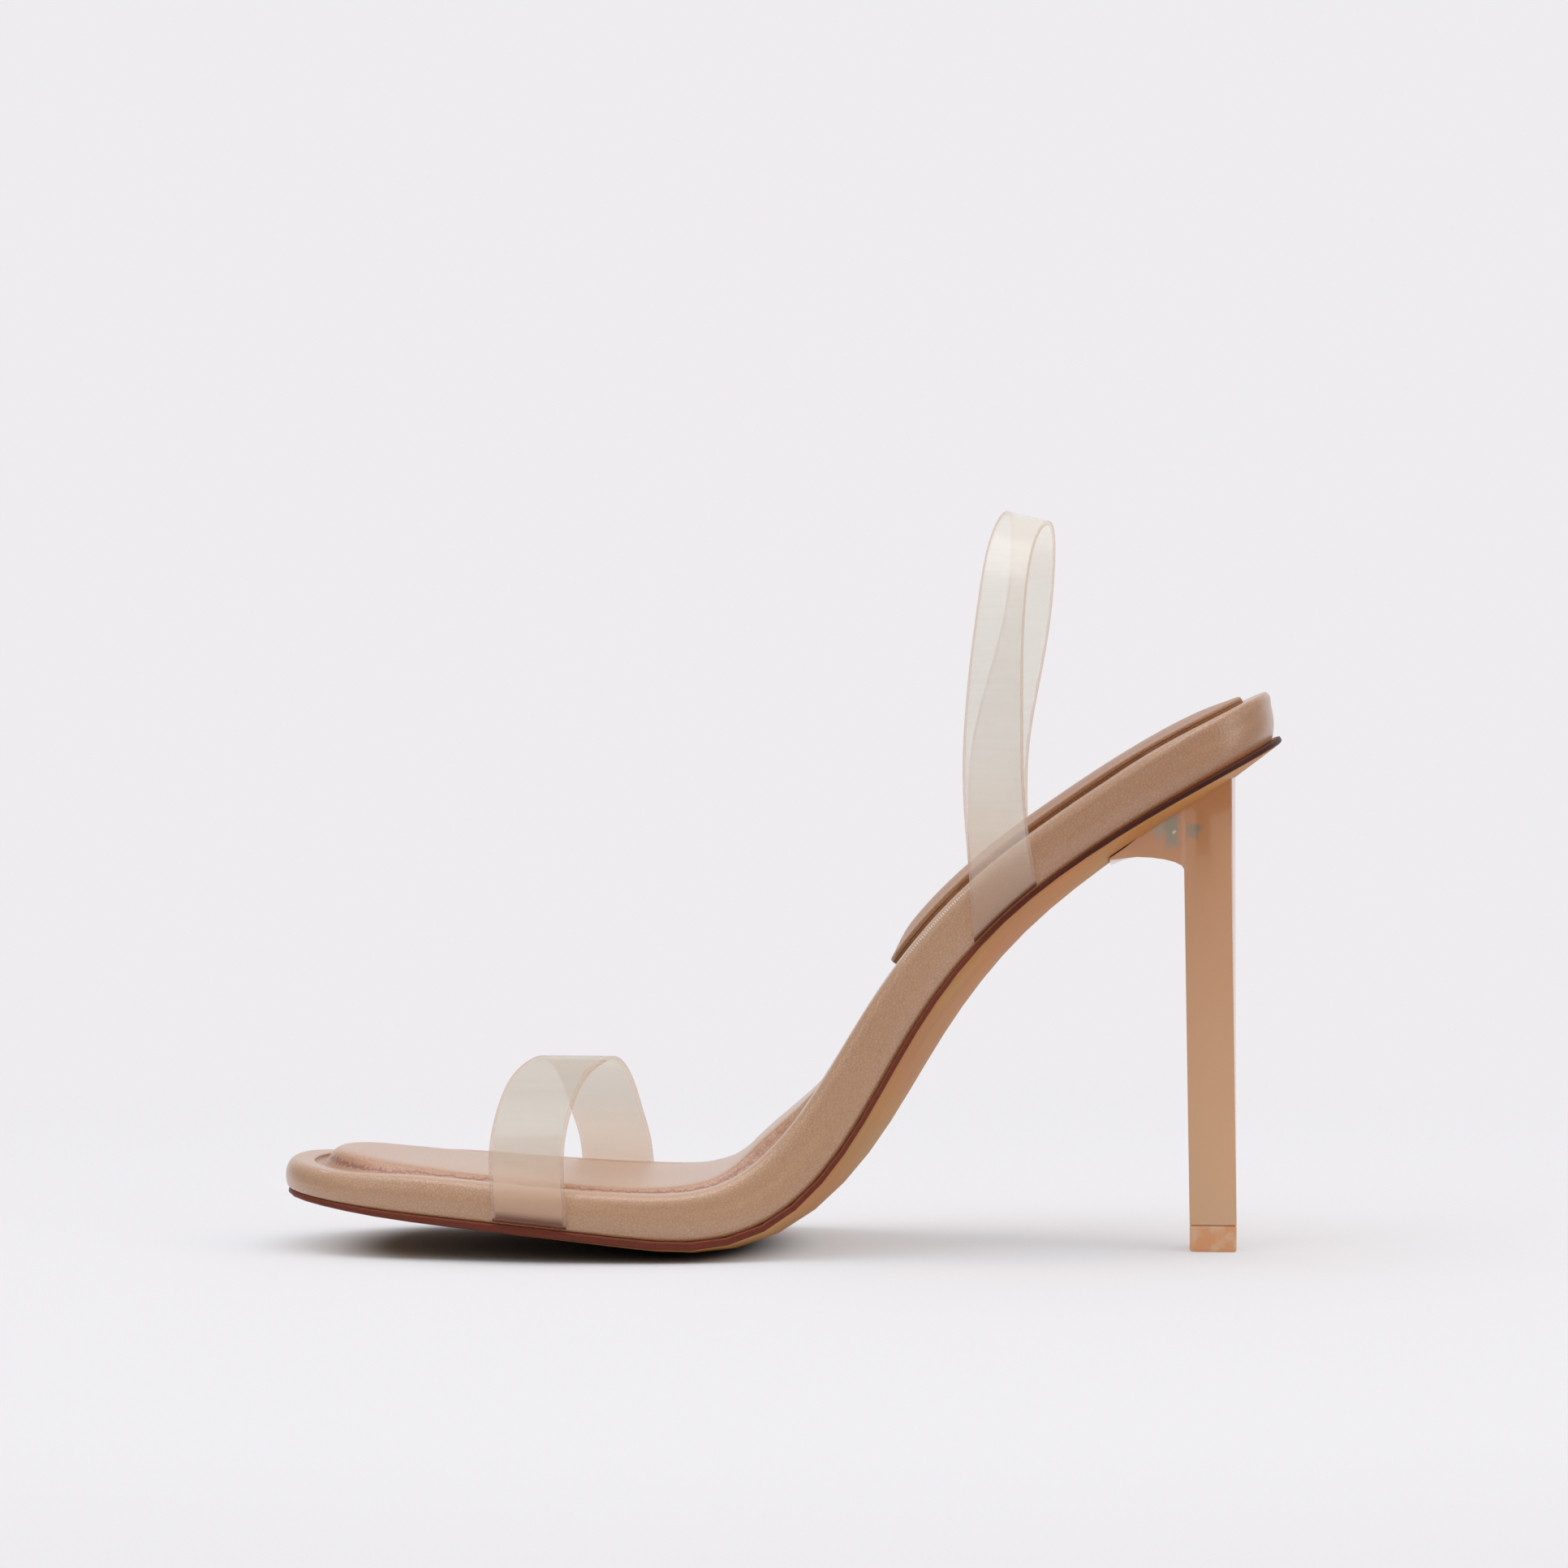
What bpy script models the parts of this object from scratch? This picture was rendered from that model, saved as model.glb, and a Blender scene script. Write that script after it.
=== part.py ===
"""Strappy heeled sandal for the right foot, standing on its sole.

The toe points to -X and the inner side of the foot faces -Y. The origin is the middle of
the heel tip, on the floor. A padded footbed wrapped in smooth synthetic leather is cemented
to a thin crowned outsole. Two clear straps come out between the two: one crosses the toes,
one loops behind the ankle. A clear slab heel carries the seat.
"""

import math
from collections import namedtuple

import bmesh
import bpy
import numpy
from mathutils import Matrix, Vector

COLLECTION_NAME = "strappy_heeled_sandal"

# Fit between two pieces that lie on each other
CLEARANCE = 0.0003

# The last: what the whole shoe is built on
SOLE_LENGTH = 0.2125
HEEL_RISE = 0.1055
TOE_SPRING = 0.0085
BALL_WIDTH = 0.077
HEEL_OVERHANG = 0.0137
TOE_ROUND = 0.030
HEEL_ROUND = 0.025
END_POWER = 2.25

# Outsole
OUTSOLE_EDGE = 0.0021
OUTSOLE_THICKNESS = 0.0026
OUTSOLE_LIP = 0.0003
CROWN_DEPTH = 0.0048
CROWN_POWER = 2.0
TREAD_FLAT = 0.0005

# Footbed
FOOTBED_THICKNESS = 0.0100
SHOULDER_RADIUS = 0.0046
SEAM_TUCK = 0.0007
EDGE_REVEAL = 0.0009
HEEL_FLARE = 0.0042
WALL_START = 0.14
CHANNEL_INSET = 0.0095
CHANNEL_DEPTH = 0.0010
CUSHION_RISE = 0.0022
CUSHION_STEP = 0.0036
CUSHION_END = 0.134
CUSHION_RUNOUT = 0.010

# Heel pad
PAD_FRONT = 0.164
PAD_INSET = 0.0070
PAD_THICKNESS = 0.0012
PAD_DOME = 0.0015
PAD_FRONT_ROUND = 0.016
PAD_BACK = 0.0032
PAD_CUT = 0.8
PAD_DOME_RUN = 0.55
PAD_DOME_FADE = 0.45

# Front strap
FRONT_STRAP_THICKNESS = 0.0009
FRONT_STRAP_WIDTH = 0.0158
FRONT_STRAP_SEAT = 0.0561
FRONT_STRAP_SKEW = 0.0114
FRONT_STRAP_RISE = 0.0322
FRONT_STRAP_SPAN = 0.0390

# Slingback strap
SLINGBACK_THICKNESS = 0.0009
SLINGBACK_WIDTH = 0.0128
SLINGBACK_SEAT = 0.1886
SLINGBACK_SKEW = -0.0035
SLINGBACK_RISE = 0.0832
SLINGBACK_SPAN = 0.0275
SLINGBACK_LEAN = 0.0040

# Heel
HEEL_DEPTH = 0.0100
HEEL_TOP_WIDTH = 0.0300
HEEL_TIP_WIDTH = 0.0130
HEEL_BACK_CROWN = 0.0010
HEEL_TOP_SHIFT = 0.0015
HEEL_SLICES = 10
HEEL_TOP_STEPS = 8
HEEL_SIDE_STEPS = 6
FLANGE_REACH = 0.0155
FLANGE_LIP = 0.0004
FLANGE_DEPTH = 0.0099
FLANGE_SWEEP = 0.0100
FLANGE_DROP = 0.0026

# Heel tip
TIP_HEIGHT = 0.0058
TIP_EDGE = 0.0006

# How finely the round forms are cut
END_STEPS = 7
SIDE_STEPS = 27
PAD_SIDE_STEPS = 13
STRAP_ROWS = 30
STRAP_COLUMNS = 5
SEARCH_STEPS = 12
SHOULDER_TURNS = (0, 22, 44, 66, 90)
SWEEP_TURNS = (18, 36, 54, 72, 90)

# Where the faces are cut, as shares of the way from the outline to the middle line
OUTSOLE_UPPER_CUTS = (1.0, 0.75, 0.5, 0.28, 0.12)
OUTSOLE_LOWER_CUTS = (0.06, 0.13, 0.22, 0.34, 0.48, 0.64, 0.82, 1.0)
FOOTBED_LOWER_CUTS = (1.0, 0.66, 0.36, 0.14)
PAD_LOWER_CUTS = (1.0, 0.5, 0.0)
PAD_UPPER_CUTS = (0.03, 0.12, 0.25, 0.4, 0.6, 1.0)

# Where the footbed's top is cut: shares of CHANNEL_INSET, of CUSHION_STEP and of the rest
CHANNEL_CUTS = (0.75, 1.0)
STEP_CUTS = (0.25, 0.6, 1.0)
CUSHION_CUTS = (0.4, 1.0)

# Rows of a strap's leg, as shares of the way from the seam to the first rib
LEG_LIFTS = (0.0, 0.33, 0.7)

Section = namedtuple("Section", "x spring rise inner outer edge crown thick shoulder cushion reveal")

# One row for each section of the last, from toe to heel. x is a share of SOLE_LENGTH,
# spring of TOE_SPRING and rise of HEEL_RISE, both of the seam above its lowest place.
# inner and outer are shares of BALL_WIDTH, edge of OUTSOLE_EDGE, crown of CROWN_DEPTH,
# thick of FOOTBED_THICKNESS, shoulder of SHOULDER_RADIUS, cushion of CUSHION_RISE and
# reveal of EDGE_REVEAL.
LAST = (
    Section(0.000, 1.00, 0.000, 0.420, 0.330, 0.8, 0.04, 0.62, 0.75, 1.9, -1.2),
    Section(0.055, 0.83, 0.000, 0.421, 0.362, 0.8, 0.11, 0.62, 0.82, 1.8, -0.5),
    Section(0.120, 0.64, 0.000, 0.430, 0.395, 0.9, 0.20, 0.76, 0.90, 0.8, -0.1),
    Section(0.235, 0.38, 0.000, 0.476, 0.466, 1.0, 0.44, 0.80, 1.00, 0.4, 0.0),
    Section(0.350, 0.10, 0.000, 0.497, 0.503, 1.0, 0.62, 0.89, 1.00, 0.3, 0.0),
    Section(0.430, 0.00, 0.000, 0.472, 0.516, 1.0, 0.70, 1.01, 1.00, 0.6, 0.0),
    Section(0.480, 0.00, 0.022, 0.434, 0.497, 0.9, 0.72, 1.10, 1.00, 1.0, 0.0),
    Section(0.525, 0.00, 0.080, 0.396, 0.460, 0.8, 0.76, 1.15, 1.00, 1.5, 0.0),
    Section(0.575, 0.00, 0.203, 0.355, 0.412, 0.7, 0.90, 1.12, 1.00, 1.0, 0.1),
    Section(0.635, 0.00, 0.412, 0.325, 0.370, 0.7, 1.04, 1.06, 1.00, 1.0, 0.2),
    Section(0.710, 0.00, 0.608, 0.316, 0.348, 0.6, 1.04, 1.03, 1.00, 1.0, 0.3),
    Section(0.800, 0.00, 0.760, 0.330, 0.348, 0.6, 0.92, 0.99, 1.00, 1.0, 0.5),
    Section(0.900, 0.00, 0.888, 0.350, 0.358, 0.7, 0.68, 1.03, 0.85, 1.0, 0.8),
    Section(1.000, 0.00, 1.000, 0.350, 0.352, 0.8, 0.42, 0.95, 0.45, 1.0, 1.0),
)

Rib = namedtuple("Rib", "across up lean width tilt")

# Ribs of the front strap above its legs. across is a share of FRONT_STRAP_SPAN, up of
# FRONT_STRAP_RISE, lean of FRONT_STRAP_SKEW and width of FRONT_STRAP_WIDTH. tilt lifts the
# edge that faces the toe, as a share of the width.
FRONT_RIBS = (
    Rib(-0.980, 0.380, -0.06, 1.00, 0.00),
    Rib(-0.915, 0.580, -0.05, 1.00, 0.00),
    Rib(-0.810, 0.730, 0.02, 1.00, 0.00),
    Rib(-0.660, 0.850, 0.10, 1.00, 0.00),
    Rib(-0.430, 0.950, 0.24, 1.00, 0.00),
    Rib(-0.140, 1.000, 0.43, 1.00, 0.00),
    Rib(0.100, 0.990, 0.55, 1.00, 0.00),
    Rib(0.300, 0.920, 0.65, 1.00, 0.00),
    Rib(0.500, 0.780, 0.75, 1.00, 0.00),
    Rib(0.720, 0.540, 0.86, 1.00, 0.00),
    Rib(0.930, 0.335, 0.93, 1.00, 0.00),
)

# Ribs of the slingback above its legs, as shares of its own sizes. lean is a share of
# SLINGBACK_LEAN.
SLINGBACK_RIBS = (
    Rib(-1.00, 0.220, -0.48, 1.03, 0.00),
    Rib(-1.04, 0.380, -0.65, 1.00, 0.00),
    Rib(-1.04, 0.540, -0.56, 0.94, 0.00),
    Rib(-1.00, 0.660, -0.45, 0.86, 0.00),
    Rib(-0.90, 0.800, -0.20, 0.78, 0.05),
    Rib(-0.72, 0.905, 0.06, 0.75, 0.12),
    Rib(-0.42, 0.975, 0.48, 0.72, 0.22),
    Rib(0.00, 1.000, 0.90, 0.71, 0.26),
    Rib(0.42, 0.975, 1.08, 0.72, 0.22),
    Rib(0.72, 0.905, 1.04, 0.75, 0.12),
    Rib(0.90, 0.800, 0.84, 0.78, 0.05),
    Rib(1.00, 0.660, 0.32, 0.86, 0.00),
    Rib(1.04, 0.540, -0.30, 0.94, 0.00),
    Rib(1.04, 0.380, -0.90, 1.00, 0.00),
    Rib(1.00, 0.220, -0.95, 1.03, 0.00),
)

Strap = namedtuple("Strap", "ribs seat skew rise span lean width thickness")


def smooth_curve(knots, values):
    """Natural cubic spline through the values at the knots, as a function of one number."""
    knots = numpy.array(knots)
    values = numpy.array(values)
    count = len(knots)
    gaps = numpy.diff(knots)
    slopes = numpy.diff(values) / gaps
    matrix = numpy.eye(count)
    bends = numpy.zeros(count)
    for i in range(1, count - 1):
        matrix[i, i - 1:i + 2] = gaps[i - 1], 2 * (gaps[i - 1] + gaps[i]), gaps[i]
        bends[i] = 6 * (slopes[i] - slopes[i - 1])
    bends = numpy.linalg.solve(matrix, bends)

    def curve(at):
        i = int(min(max(numpy.searchsorted(knots, at) - 1, 0), count - 2))
        before = at - knots[i]
        after = knots[i + 1] - at
        gap = gaps[i]
        bent = (bends[i] * after ** 3 + bends[i + 1] * before ** 3) / (6 * gap)
        start = (values[i] / gap - bends[i] * gap / 6) * after
        end = (values[i + 1] / gap - bends[i + 1] * gap / 6) * before
        return float(bent + start + end)

    return curve


def smooth_step(low, high, at):
    """0 below low, 1 above high, and a soft rise between."""
    share = min(max((at - low) / (high - low), 0.0), 1.0)
    return share * share * (3 - 2 * share)


def last_column(name, size):
    """One column of the last's table, in metres, along the shoe's length in metres."""
    knots = [section.x * SOLE_LENGTH for section in LAST]
    return smooth_curve(knots, [getattr(section, name) * size for section in LAST])


spring_at = last_column("spring", TOE_SPRING)
rise_at = last_column("rise", HEEL_RISE)
inner_at = last_column("inner", BALL_WIDTH)
outer_at = last_column("outer", BALL_WIDTH)
edge_at = last_column("edge", OUTSOLE_EDGE)
crown_at = last_column("crown", CROWN_DEPTH)
thickness_at = last_column("thick", FOOTBED_THICKNESS)
shoulder_at = last_column("shoulder", SHOULDER_RADIUS)
cushion_at = last_column("cushion", CUSHION_RISE)
reveal_at = last_column("reveal", EDGE_REVEAL)

# The seam's lowest place stands on the crowned outsole, whose middle is worn flat
BALL = LAST[5].x * SOLE_LENGTH
BALL_SEAT = edge_at(BALL) + crown_at(BALL) - TREAD_FLAT

PROFILE_SAMPLES = 600
TOE_X = HEEL_OVERHANG - SOLE_LENGTH


def seam_height(x):
    """Height of the seam's middle line above the floor."""
    return BALL_SEAT + spring_at(x) + rise_at(x)


profile_x = numpy.linspace(0, SOLE_LENGTH, PROFILE_SAMPLES)
profile_z = numpy.array([seam_height(x) for x in profile_x])
profile_steps = numpy.hypot(numpy.diff(profile_x), numpy.diff(profile_z))
profile_along = numpy.concatenate(([0.0], numpy.cumsum(profile_steps)))
profile_slope = numpy.gradient(profile_z, profile_x)
SOLE_ARC = float(profile_along[-1])


def length_at(along):
    """Distance from the toe along the floor, for a distance along the sole."""
    return float(numpy.interp(along, profile_along, profile_x))


def along_at(x):
    """Distance along the sole, for a distance from the toe along the floor."""
    return float(numpy.interp(x, profile_x, profile_along))


def middle_at(along):
    """Sideways place of the last's middle line."""
    x = length_at(along)
    return (outer_at(x) - inner_at(x)) / 2


def half_width_at(along):
    """Half the sole's width, before its ends are rounded."""
    x = length_at(along)
    return (outer_at(x) + inner_at(x)) / 2


def place(along, across, above):
    """World point at a distance along the sole, sideways, and square above the seam."""
    x = length_at(along)
    past_end = along - min(max(along, 0.0), SOLE_ARC)
    angle = math.atan(float(numpy.interp(x, profile_x, profile_slope)))
    height = float(numpy.interp(x, profile_x, profile_z))
    return Vector((
        TOE_X + x + past_end * math.cos(angle) - above * math.sin(angle),
        across,
        height + past_end * math.sin(angle) + above * math.cos(angle),
    ))


def edge_share(along, across):
    """0 on the sole's outline and 1 on its middle line."""
    toe_end = max(TOE_ROUND - along, 0.0) / TOE_ROUND
    heel_end = max(along - (SOLE_ARC - HEEL_ROUND), 0.0) / HEEL_ROUND
    sideways = abs(across - middle_at(along)) / half_width_at(along)
    return 1 - ((toe_end + heel_end) ** END_POWER + sideways ** END_POWER) ** (1 / END_POWER)


def crown_share(share):
    """How much of the crown is reached at a share of the way from edge to middle."""
    return 1 - (1 - min(max(share, 0.0), 1.0)) ** CROWN_POWER


def outsole_under(along, share):
    """Rise of the outsole's underside above the seam."""
    x = length_at(along)
    return -edge_at(x) - crown_at(x) * crown_share(share)


def outsole_over(along, share):
    """Rise of the outsole's upper face above the seam."""
    edge = edge_at(length_at(along))
    thicker = (OUTSOLE_THICKNESS - edge) * crown_share(share)
    return outsole_under(along, share) + edge + thicker - CLEARANCE


Spot = namedtuple("Spot", "along across hub_along hub_across length")


def plan_outline(front, back, front_round, back_round, inset, side_steps):
    """Spots round a closed outline, each with the hub on the middle line that it faces."""
    front_hub = front + front_round
    back_hub = back - back_round
    half = []
    for step in range(END_STEPS):
        angle = math.pi / 2 * step / END_STEPS
        bulge = math.cos(angle) ** (2 / END_POWER)
        half.append((front_hub - front_round * bulge, math.sin(angle) ** (2 / END_POWER), front_hub))
    for step in range(side_steps + 1):
        along = front_hub + (back_hub - front_hub) * step / side_steps
        half.append((along, 1.0, along))
    for step in reversed(range(END_STEPS)):
        angle = math.pi / 2 * step / END_STEPS
        bulge = math.cos(angle) ** (2 / END_POWER)
        half.append((back_hub + back_round * bulge, math.sin(angle) ** (2 / END_POWER), back_hub))
    spots = []
    for side, rows in ((-1, half), (1, half[-2:0:-1])):
        for along, spread, hub in rows:
            across = middle_at(along) + side * spread * (half_width_at(along) - inset)
            hub_across = middle_at(hub)
            length = math.hypot(hub - along, hub_across - across)
            spots.append(Spot(along, across, hub, hub_across, length))
    return spots


def inward(spot, inset):
    """Distances along and across, moved by the inset from a spot towards its hub."""
    share = inset / spot.length
    along = spot.along + (spot.hub_along - spot.along) * share
    across = spot.across + (spot.hub_across - spot.across) * share
    return along, across


def ring(spots, reach, rise):
    """World points of one ring. reach gives the inset at a spot, and rise the height above
    the seam for a distance along and a share of the way from the outline to the hub."""
    points = []
    for spot in spots:
        inset = reach(spot)
        along, across = inward(spot, inset)
        points.append(place(along, across, rise(along, inset / spot.length)))
    return points


def finish(name, colour, roughness, transmission=0.0, ior=1.5):
    """A material for one piece."""
    material = bpy.data.materials.new(name)
    material.use_nodes = True
    shader = material.node_tree.nodes["Principled BSDF"]
    shader.inputs["Base Color"].default_value = (*colour, 1.0)
    shader.inputs["Roughness"].default_value = roughness
    shader.inputs["Metallic"].default_value = 0.0
    shader.inputs["Transmission Weight"].default_value = transmission
    shader.inputs["IOR"].default_value = ior
    material.diffuse_color = (*colour, 1.0)
    return material


def piece_from(mesh_builder, name, material, smooth_angle=50):
    """Turns a finished bmesh into one named object."""
    bmesh.ops.recalc_face_normals(mesh_builder, faces=mesh_builder.faces)
    mesh = bpy.data.meshes.new(name)
    mesh_builder.to_mesh(mesh)
    mesh_builder.free()
    mesh.materials.append(material)
    mesh.shade_smooth()
    mesh.set_sharp_from_angle(angle=math.radians(smooth_angle))
    piece = bpy.data.objects.new(name, mesh)
    bpy.data.collections[COLLECTION_NAME].objects.link(piece)
    return piece


def loft(builder, rows, closed):
    """Skins rows of points with quads. A closed row also joins its last point to its first."""
    made = [[builder.verts.new(point) for point in row] for row in rows]
    for lower, upper in zip(made, made[1:]):
        count = len(lower)
        for i in range(count if closed else count - 1):
            j = (i + 1) % count
            builder.faces.new((lower[i], lower[j], upper[j], upper[i]))
    return made


def ringed_piece(name, rings, material):
    """A closed piece whose first and last rings fold flat onto the middle line."""
    builder = bmesh.new()
    loft(builder, rings, closed=True)
    bmesh.ops.remove_doubles(builder, verts=builder.verts, dist=CLEARANCE / 100)
    return piece_from(builder, name, material)


def sole_outline():
    """The outline that outsole and footbed share."""
    return plan_outline(0.0, SOLE_ARC, TOE_ROUND, HEEL_ROUND, 0.0, SIDE_STEPS)


def share_reach(share):
    """Inset that is a share of the way to the middle line."""
    return lambda spot: spot.length * share


def make_outsole():
    """Thin crowned sheet with a stained edge that shows as a line under the wrap."""
    spots = sole_outline()
    rings = []
    for share in OUTSOLE_UPPER_CUTS:
        rings.append(ring(spots, share_reach(share), outsole_over))
    edge = (
        (2 * OUTSOLE_LIP, lambda depth: -CLEARANCE),
        (0.0, lambda depth: -CLEARANCE - OUTSOLE_LIP / 2),
        (0.0, lambda depth: -depth + OUTSOLE_LIP),
        (OUTSOLE_LIP, lambda depth: -depth),
    )
    for inset, rise in edge:
        rings.append(ring(spots, lambda spot, d=inset: d,
                          lambda along, share, r=rise: r(edge_at(length_at(along)))))
    for share in OUTSOLE_LOWER_CUTS:
        points = ring(spots, share_reach(share), outsole_under)
        for point in points:
            point.z = max(point.z, 0.0)
        rings.append(points)
    return ringed_piece("outsole", rings, finish("outsole_sheet", (0.48, 0.26, 0.11), 0.45))


def footbed_top(along, inset):
    """Rise of the footbed's upper face above the seam, inwards of its rounded shoulder."""
    thickness = thickness_at(length_at(along))
    forefoot = 1 - smooth_step(CUSHION_END - CUSHION_RUNOUT, CUSHION_END, along)
    falling = smooth_step(SHOULDER_RADIUS, CHANNEL_INSET, inset)
    rising = smooth_step(CHANNEL_INSET, CHANNEL_INSET + CUSHION_STEP, inset)
    cushion = cushion_at(length_at(along))
    sunk = -CHANNEL_DEPTH * falling + (CHANNEL_DEPTH + cushion) * rising
    return thickness + forefoot * sunk


def heel_flare(spot):
    """How far the wrap leans out over the heel end, at its full height."""
    past_hub = max(spot.along - (SOLE_ARC - HEEL_ROUND), 0.0) / HEEL_ROUND
    return HEEL_FLARE * past_hub ** 2


def make_footbed():
    """Padded platform wrapped over its edge, with a rim, a channel and a toe cushion."""
    spots = sole_outline()
    rings = []
    for share in FOOTBED_LOWER_CUTS:
        rings.append(ring(spots, share_reach(share), lambda a, s: outsole_over(a, s) + CLEARANCE))

    def wall_ring(inset, height):
        """A ring up the wall: both are worked out from the thickness and the shoulder."""
        points = []
        for spot in spots:
            x = length_at(spot.along)
            thickness = thickness_at(x)
            radius = shoulder_at(x)
            lift = height(thickness, radius)
            flare = heel_flare(spot) * lift / thickness
            along, across = inward(spot, inset(radius) + reveal_at(x) - flare)
            points.append(place(along, across, lift))
        rings.append(points)

    def top_ring(reach):
        """A ring on the upper face, at an inset from the outline."""
        points = []
        for spot in spots:
            inset = reach(spot)
            along, across = inward(spot, inset)
            points.append(place(along, across, footbed_top(along, inset)))
        rings.append(points)

    wall_ring(lambda radius: SEAM_TUCK, lambda thickness, radius: 0.0)
    wall_ring(lambda radius: SEAM_TUCK / 4, lambda thickness, radius: WALL_START * thickness)
    for degrees in SHOULDER_TURNS:
        turn = math.radians(degrees)
        wall_ring(lambda radius, t=turn: radius * (1 - math.cos(t)),
                  lambda thickness, radius, t=turn: thickness - radius * (1 - math.sin(t)))
    for part in CHANNEL_CUTS:
        top_ring(lambda spot, p=part: CHANNEL_INSET * p)
    for part in STEP_CUTS:
        top_ring(lambda spot, p=part: CHANNEL_INSET + CUSHION_STEP * p)
    core = CHANNEL_INSET + CUSHION_STEP
    for part in CUSHION_CUTS:
        top_ring(lambda spot, p=part: core + (spot.length - core) * p)
    return ringed_piece("footbed", rings, finish("wrapped_leather", (0.62, 0.42, 0.29), 0.42))


def make_heel_pad():
    """Soft sock pad with a raw cut edge, cemented on the seat and the arch."""
    back = SOLE_ARC - PAD_BACK
    spots = plan_outline(PAD_FRONT, back, PAD_FRONT_ROUND, HEEL_ROUND - PAD_INSET,
                         PAD_INSET + EDGE_REVEAL, PAD_SIDE_STEPS)

    def pad_rise(level, dome):
        def rise(along, share):
            fade = 1 - PAD_DOME_FADE * (along - PAD_FRONT) / (back - PAD_FRONT)
            domed = PAD_DOME * dome * fade * smooth_step(0.0, PAD_DOME_RUN, share)
            return thickness_at(length_at(along)) + CLEARANCE + level + domed
        return rise

    rings = []
    for share in PAD_LOWER_CUTS:
        rings.append(ring(spots, share_reach(share), pad_rise(0.0, 0.0)))
    rings.append(ring(spots, share_reach(0.0), pad_rise(PAD_THICKNESS * PAD_CUT, 0.0)))
    for share in PAD_UPPER_CUTS:
        rings.append(ring(spots, share_reach(share), pad_rise(PAD_THICKNESS, 1.0)))
    return ringed_piece("heel_pad", rings, finish("sock_pad", (0.64, 0.46, 0.33), 0.5))


def wall_across(x, z, side):
    """Sideways place of the wrap's outer face beside a world point."""
    gaps = (profile_x - (x - TOE_X)) ** 2 + (profile_z - z) ** 2
    nearest = profile_x[int(numpy.argmin(gaps))]
    return side * (outer_at(nearest) if side > 0 else inner_at(nearest))


def smooth_path(points, count):
    """Evenly spaced points on a smooth curve through the given ones."""
    steps = [0.0]
    for start, end in zip(points, points[1:]):
        steps.append(steps[-1] + (end - start).length)
    curves = [smooth_curve(steps, [point[axis] for point in points]) for axis in range(3)]
    return [Vector([curve(steps[-1] * i / count) for curve in curves]) for i in range(count + 1)]


def strap_edge(strap, part):
    """Route of one lengthwise line of a strap. part is its place in the width, -0.5 to 0.5."""
    seat_x = length_at(strap.seat) + TOE_X
    foot = seam_height(seat_x - TOE_X)

    def leg(side, foot_x, rib):
        rib_x = seat_x + rib.lean * strap.lean
        rib_z = foot + rib.up * strap.rise
        points = []
        for lift in LEG_LIFTS:
            x = foot_x + (rib_x - foot_x) * lift + part * strap.width * rib.width
            floor = seam_height(x - TOE_X) + CLEARANCE
            z = floor + max(rib_z - floor, 0.0) * lift
            points.append(Vector((x, wall_across(x, z, side) + side * CLEARANCE, z)))
        return points

    loop = []
    for rib in strap.ribs:
        x = seat_x + rib.lean * strap.lean + part * strap.width * rib.width
        z = foot + rib.up * strap.rise - part * strap.width * rib.width * rib.tilt
        loop.append(Vector((x, rib.across * strap.span, z)))
    near = leg(-1, seat_x, strap.ribs[0])
    far = leg(1, seat_x + strap.skew, strap.ribs[-1])
    return smooth_path(near + loop + far[::-1], STRAP_ROWS)


def make_strap(name, strap, material):
    """A band that rises beside the footbed, loops over and goes down on the other side."""
    lines = [strap_edge(strap, column / (STRAP_COLUMNS - 1) - 0.5) for column in range(STRAP_COLUMNS)]
    builder = bmesh.new()
    loft(builder, lines, closed=False)
    piece = piece_from(builder, name, material)
    wall = piece.modifiers.new("wall", "SOLIDIFY")
    wall.thickness = strap.thickness
    wall.offset = 1.0
    return piece


def make_front_strap():
    """Clear band across the toes."""
    strap = Strap(FRONT_RIBS, FRONT_STRAP_SEAT, FRONT_STRAP_SKEW, FRONT_STRAP_RISE,
                  FRONT_STRAP_SPAN, FRONT_STRAP_SKEW, FRONT_STRAP_WIDTH, FRONT_STRAP_THICKNESS)
    vinyl = finish("front_strap_vinyl", (0.72, 0.66, 0.58), 0.2, 0.6, 1.53)
    return make_strap("front_strap", strap, vinyl)


def make_slingback():
    """Clear band that loops behind the ankle, narrower at its top."""
    strap = Strap(SLINGBACK_RIBS, SLINGBACK_SEAT, SLINGBACK_SKEW, SLINGBACK_RISE,
                  SLINGBACK_SPAN, SLINGBACK_LEAN, SLINGBACK_WIDTH, SLINGBACK_THICKNESS)
    vinyl = finish("slingback_vinyl", (0.72, 0.66, 0.58), 0.2, 0.6, 1.53)
    return make_strap("slingback_strap", strap, vinyl)


def under_sole(x, y):
    """Height of the outsole's underside above a place on the floor."""
    target = x - TOE_X
    along = along_at(target)
    for _ in range(SEARCH_STEPS):
        point = place(along, y, outsole_under(along, edge_share(along, y)))
        along += x - point.x
    return point.z


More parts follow.
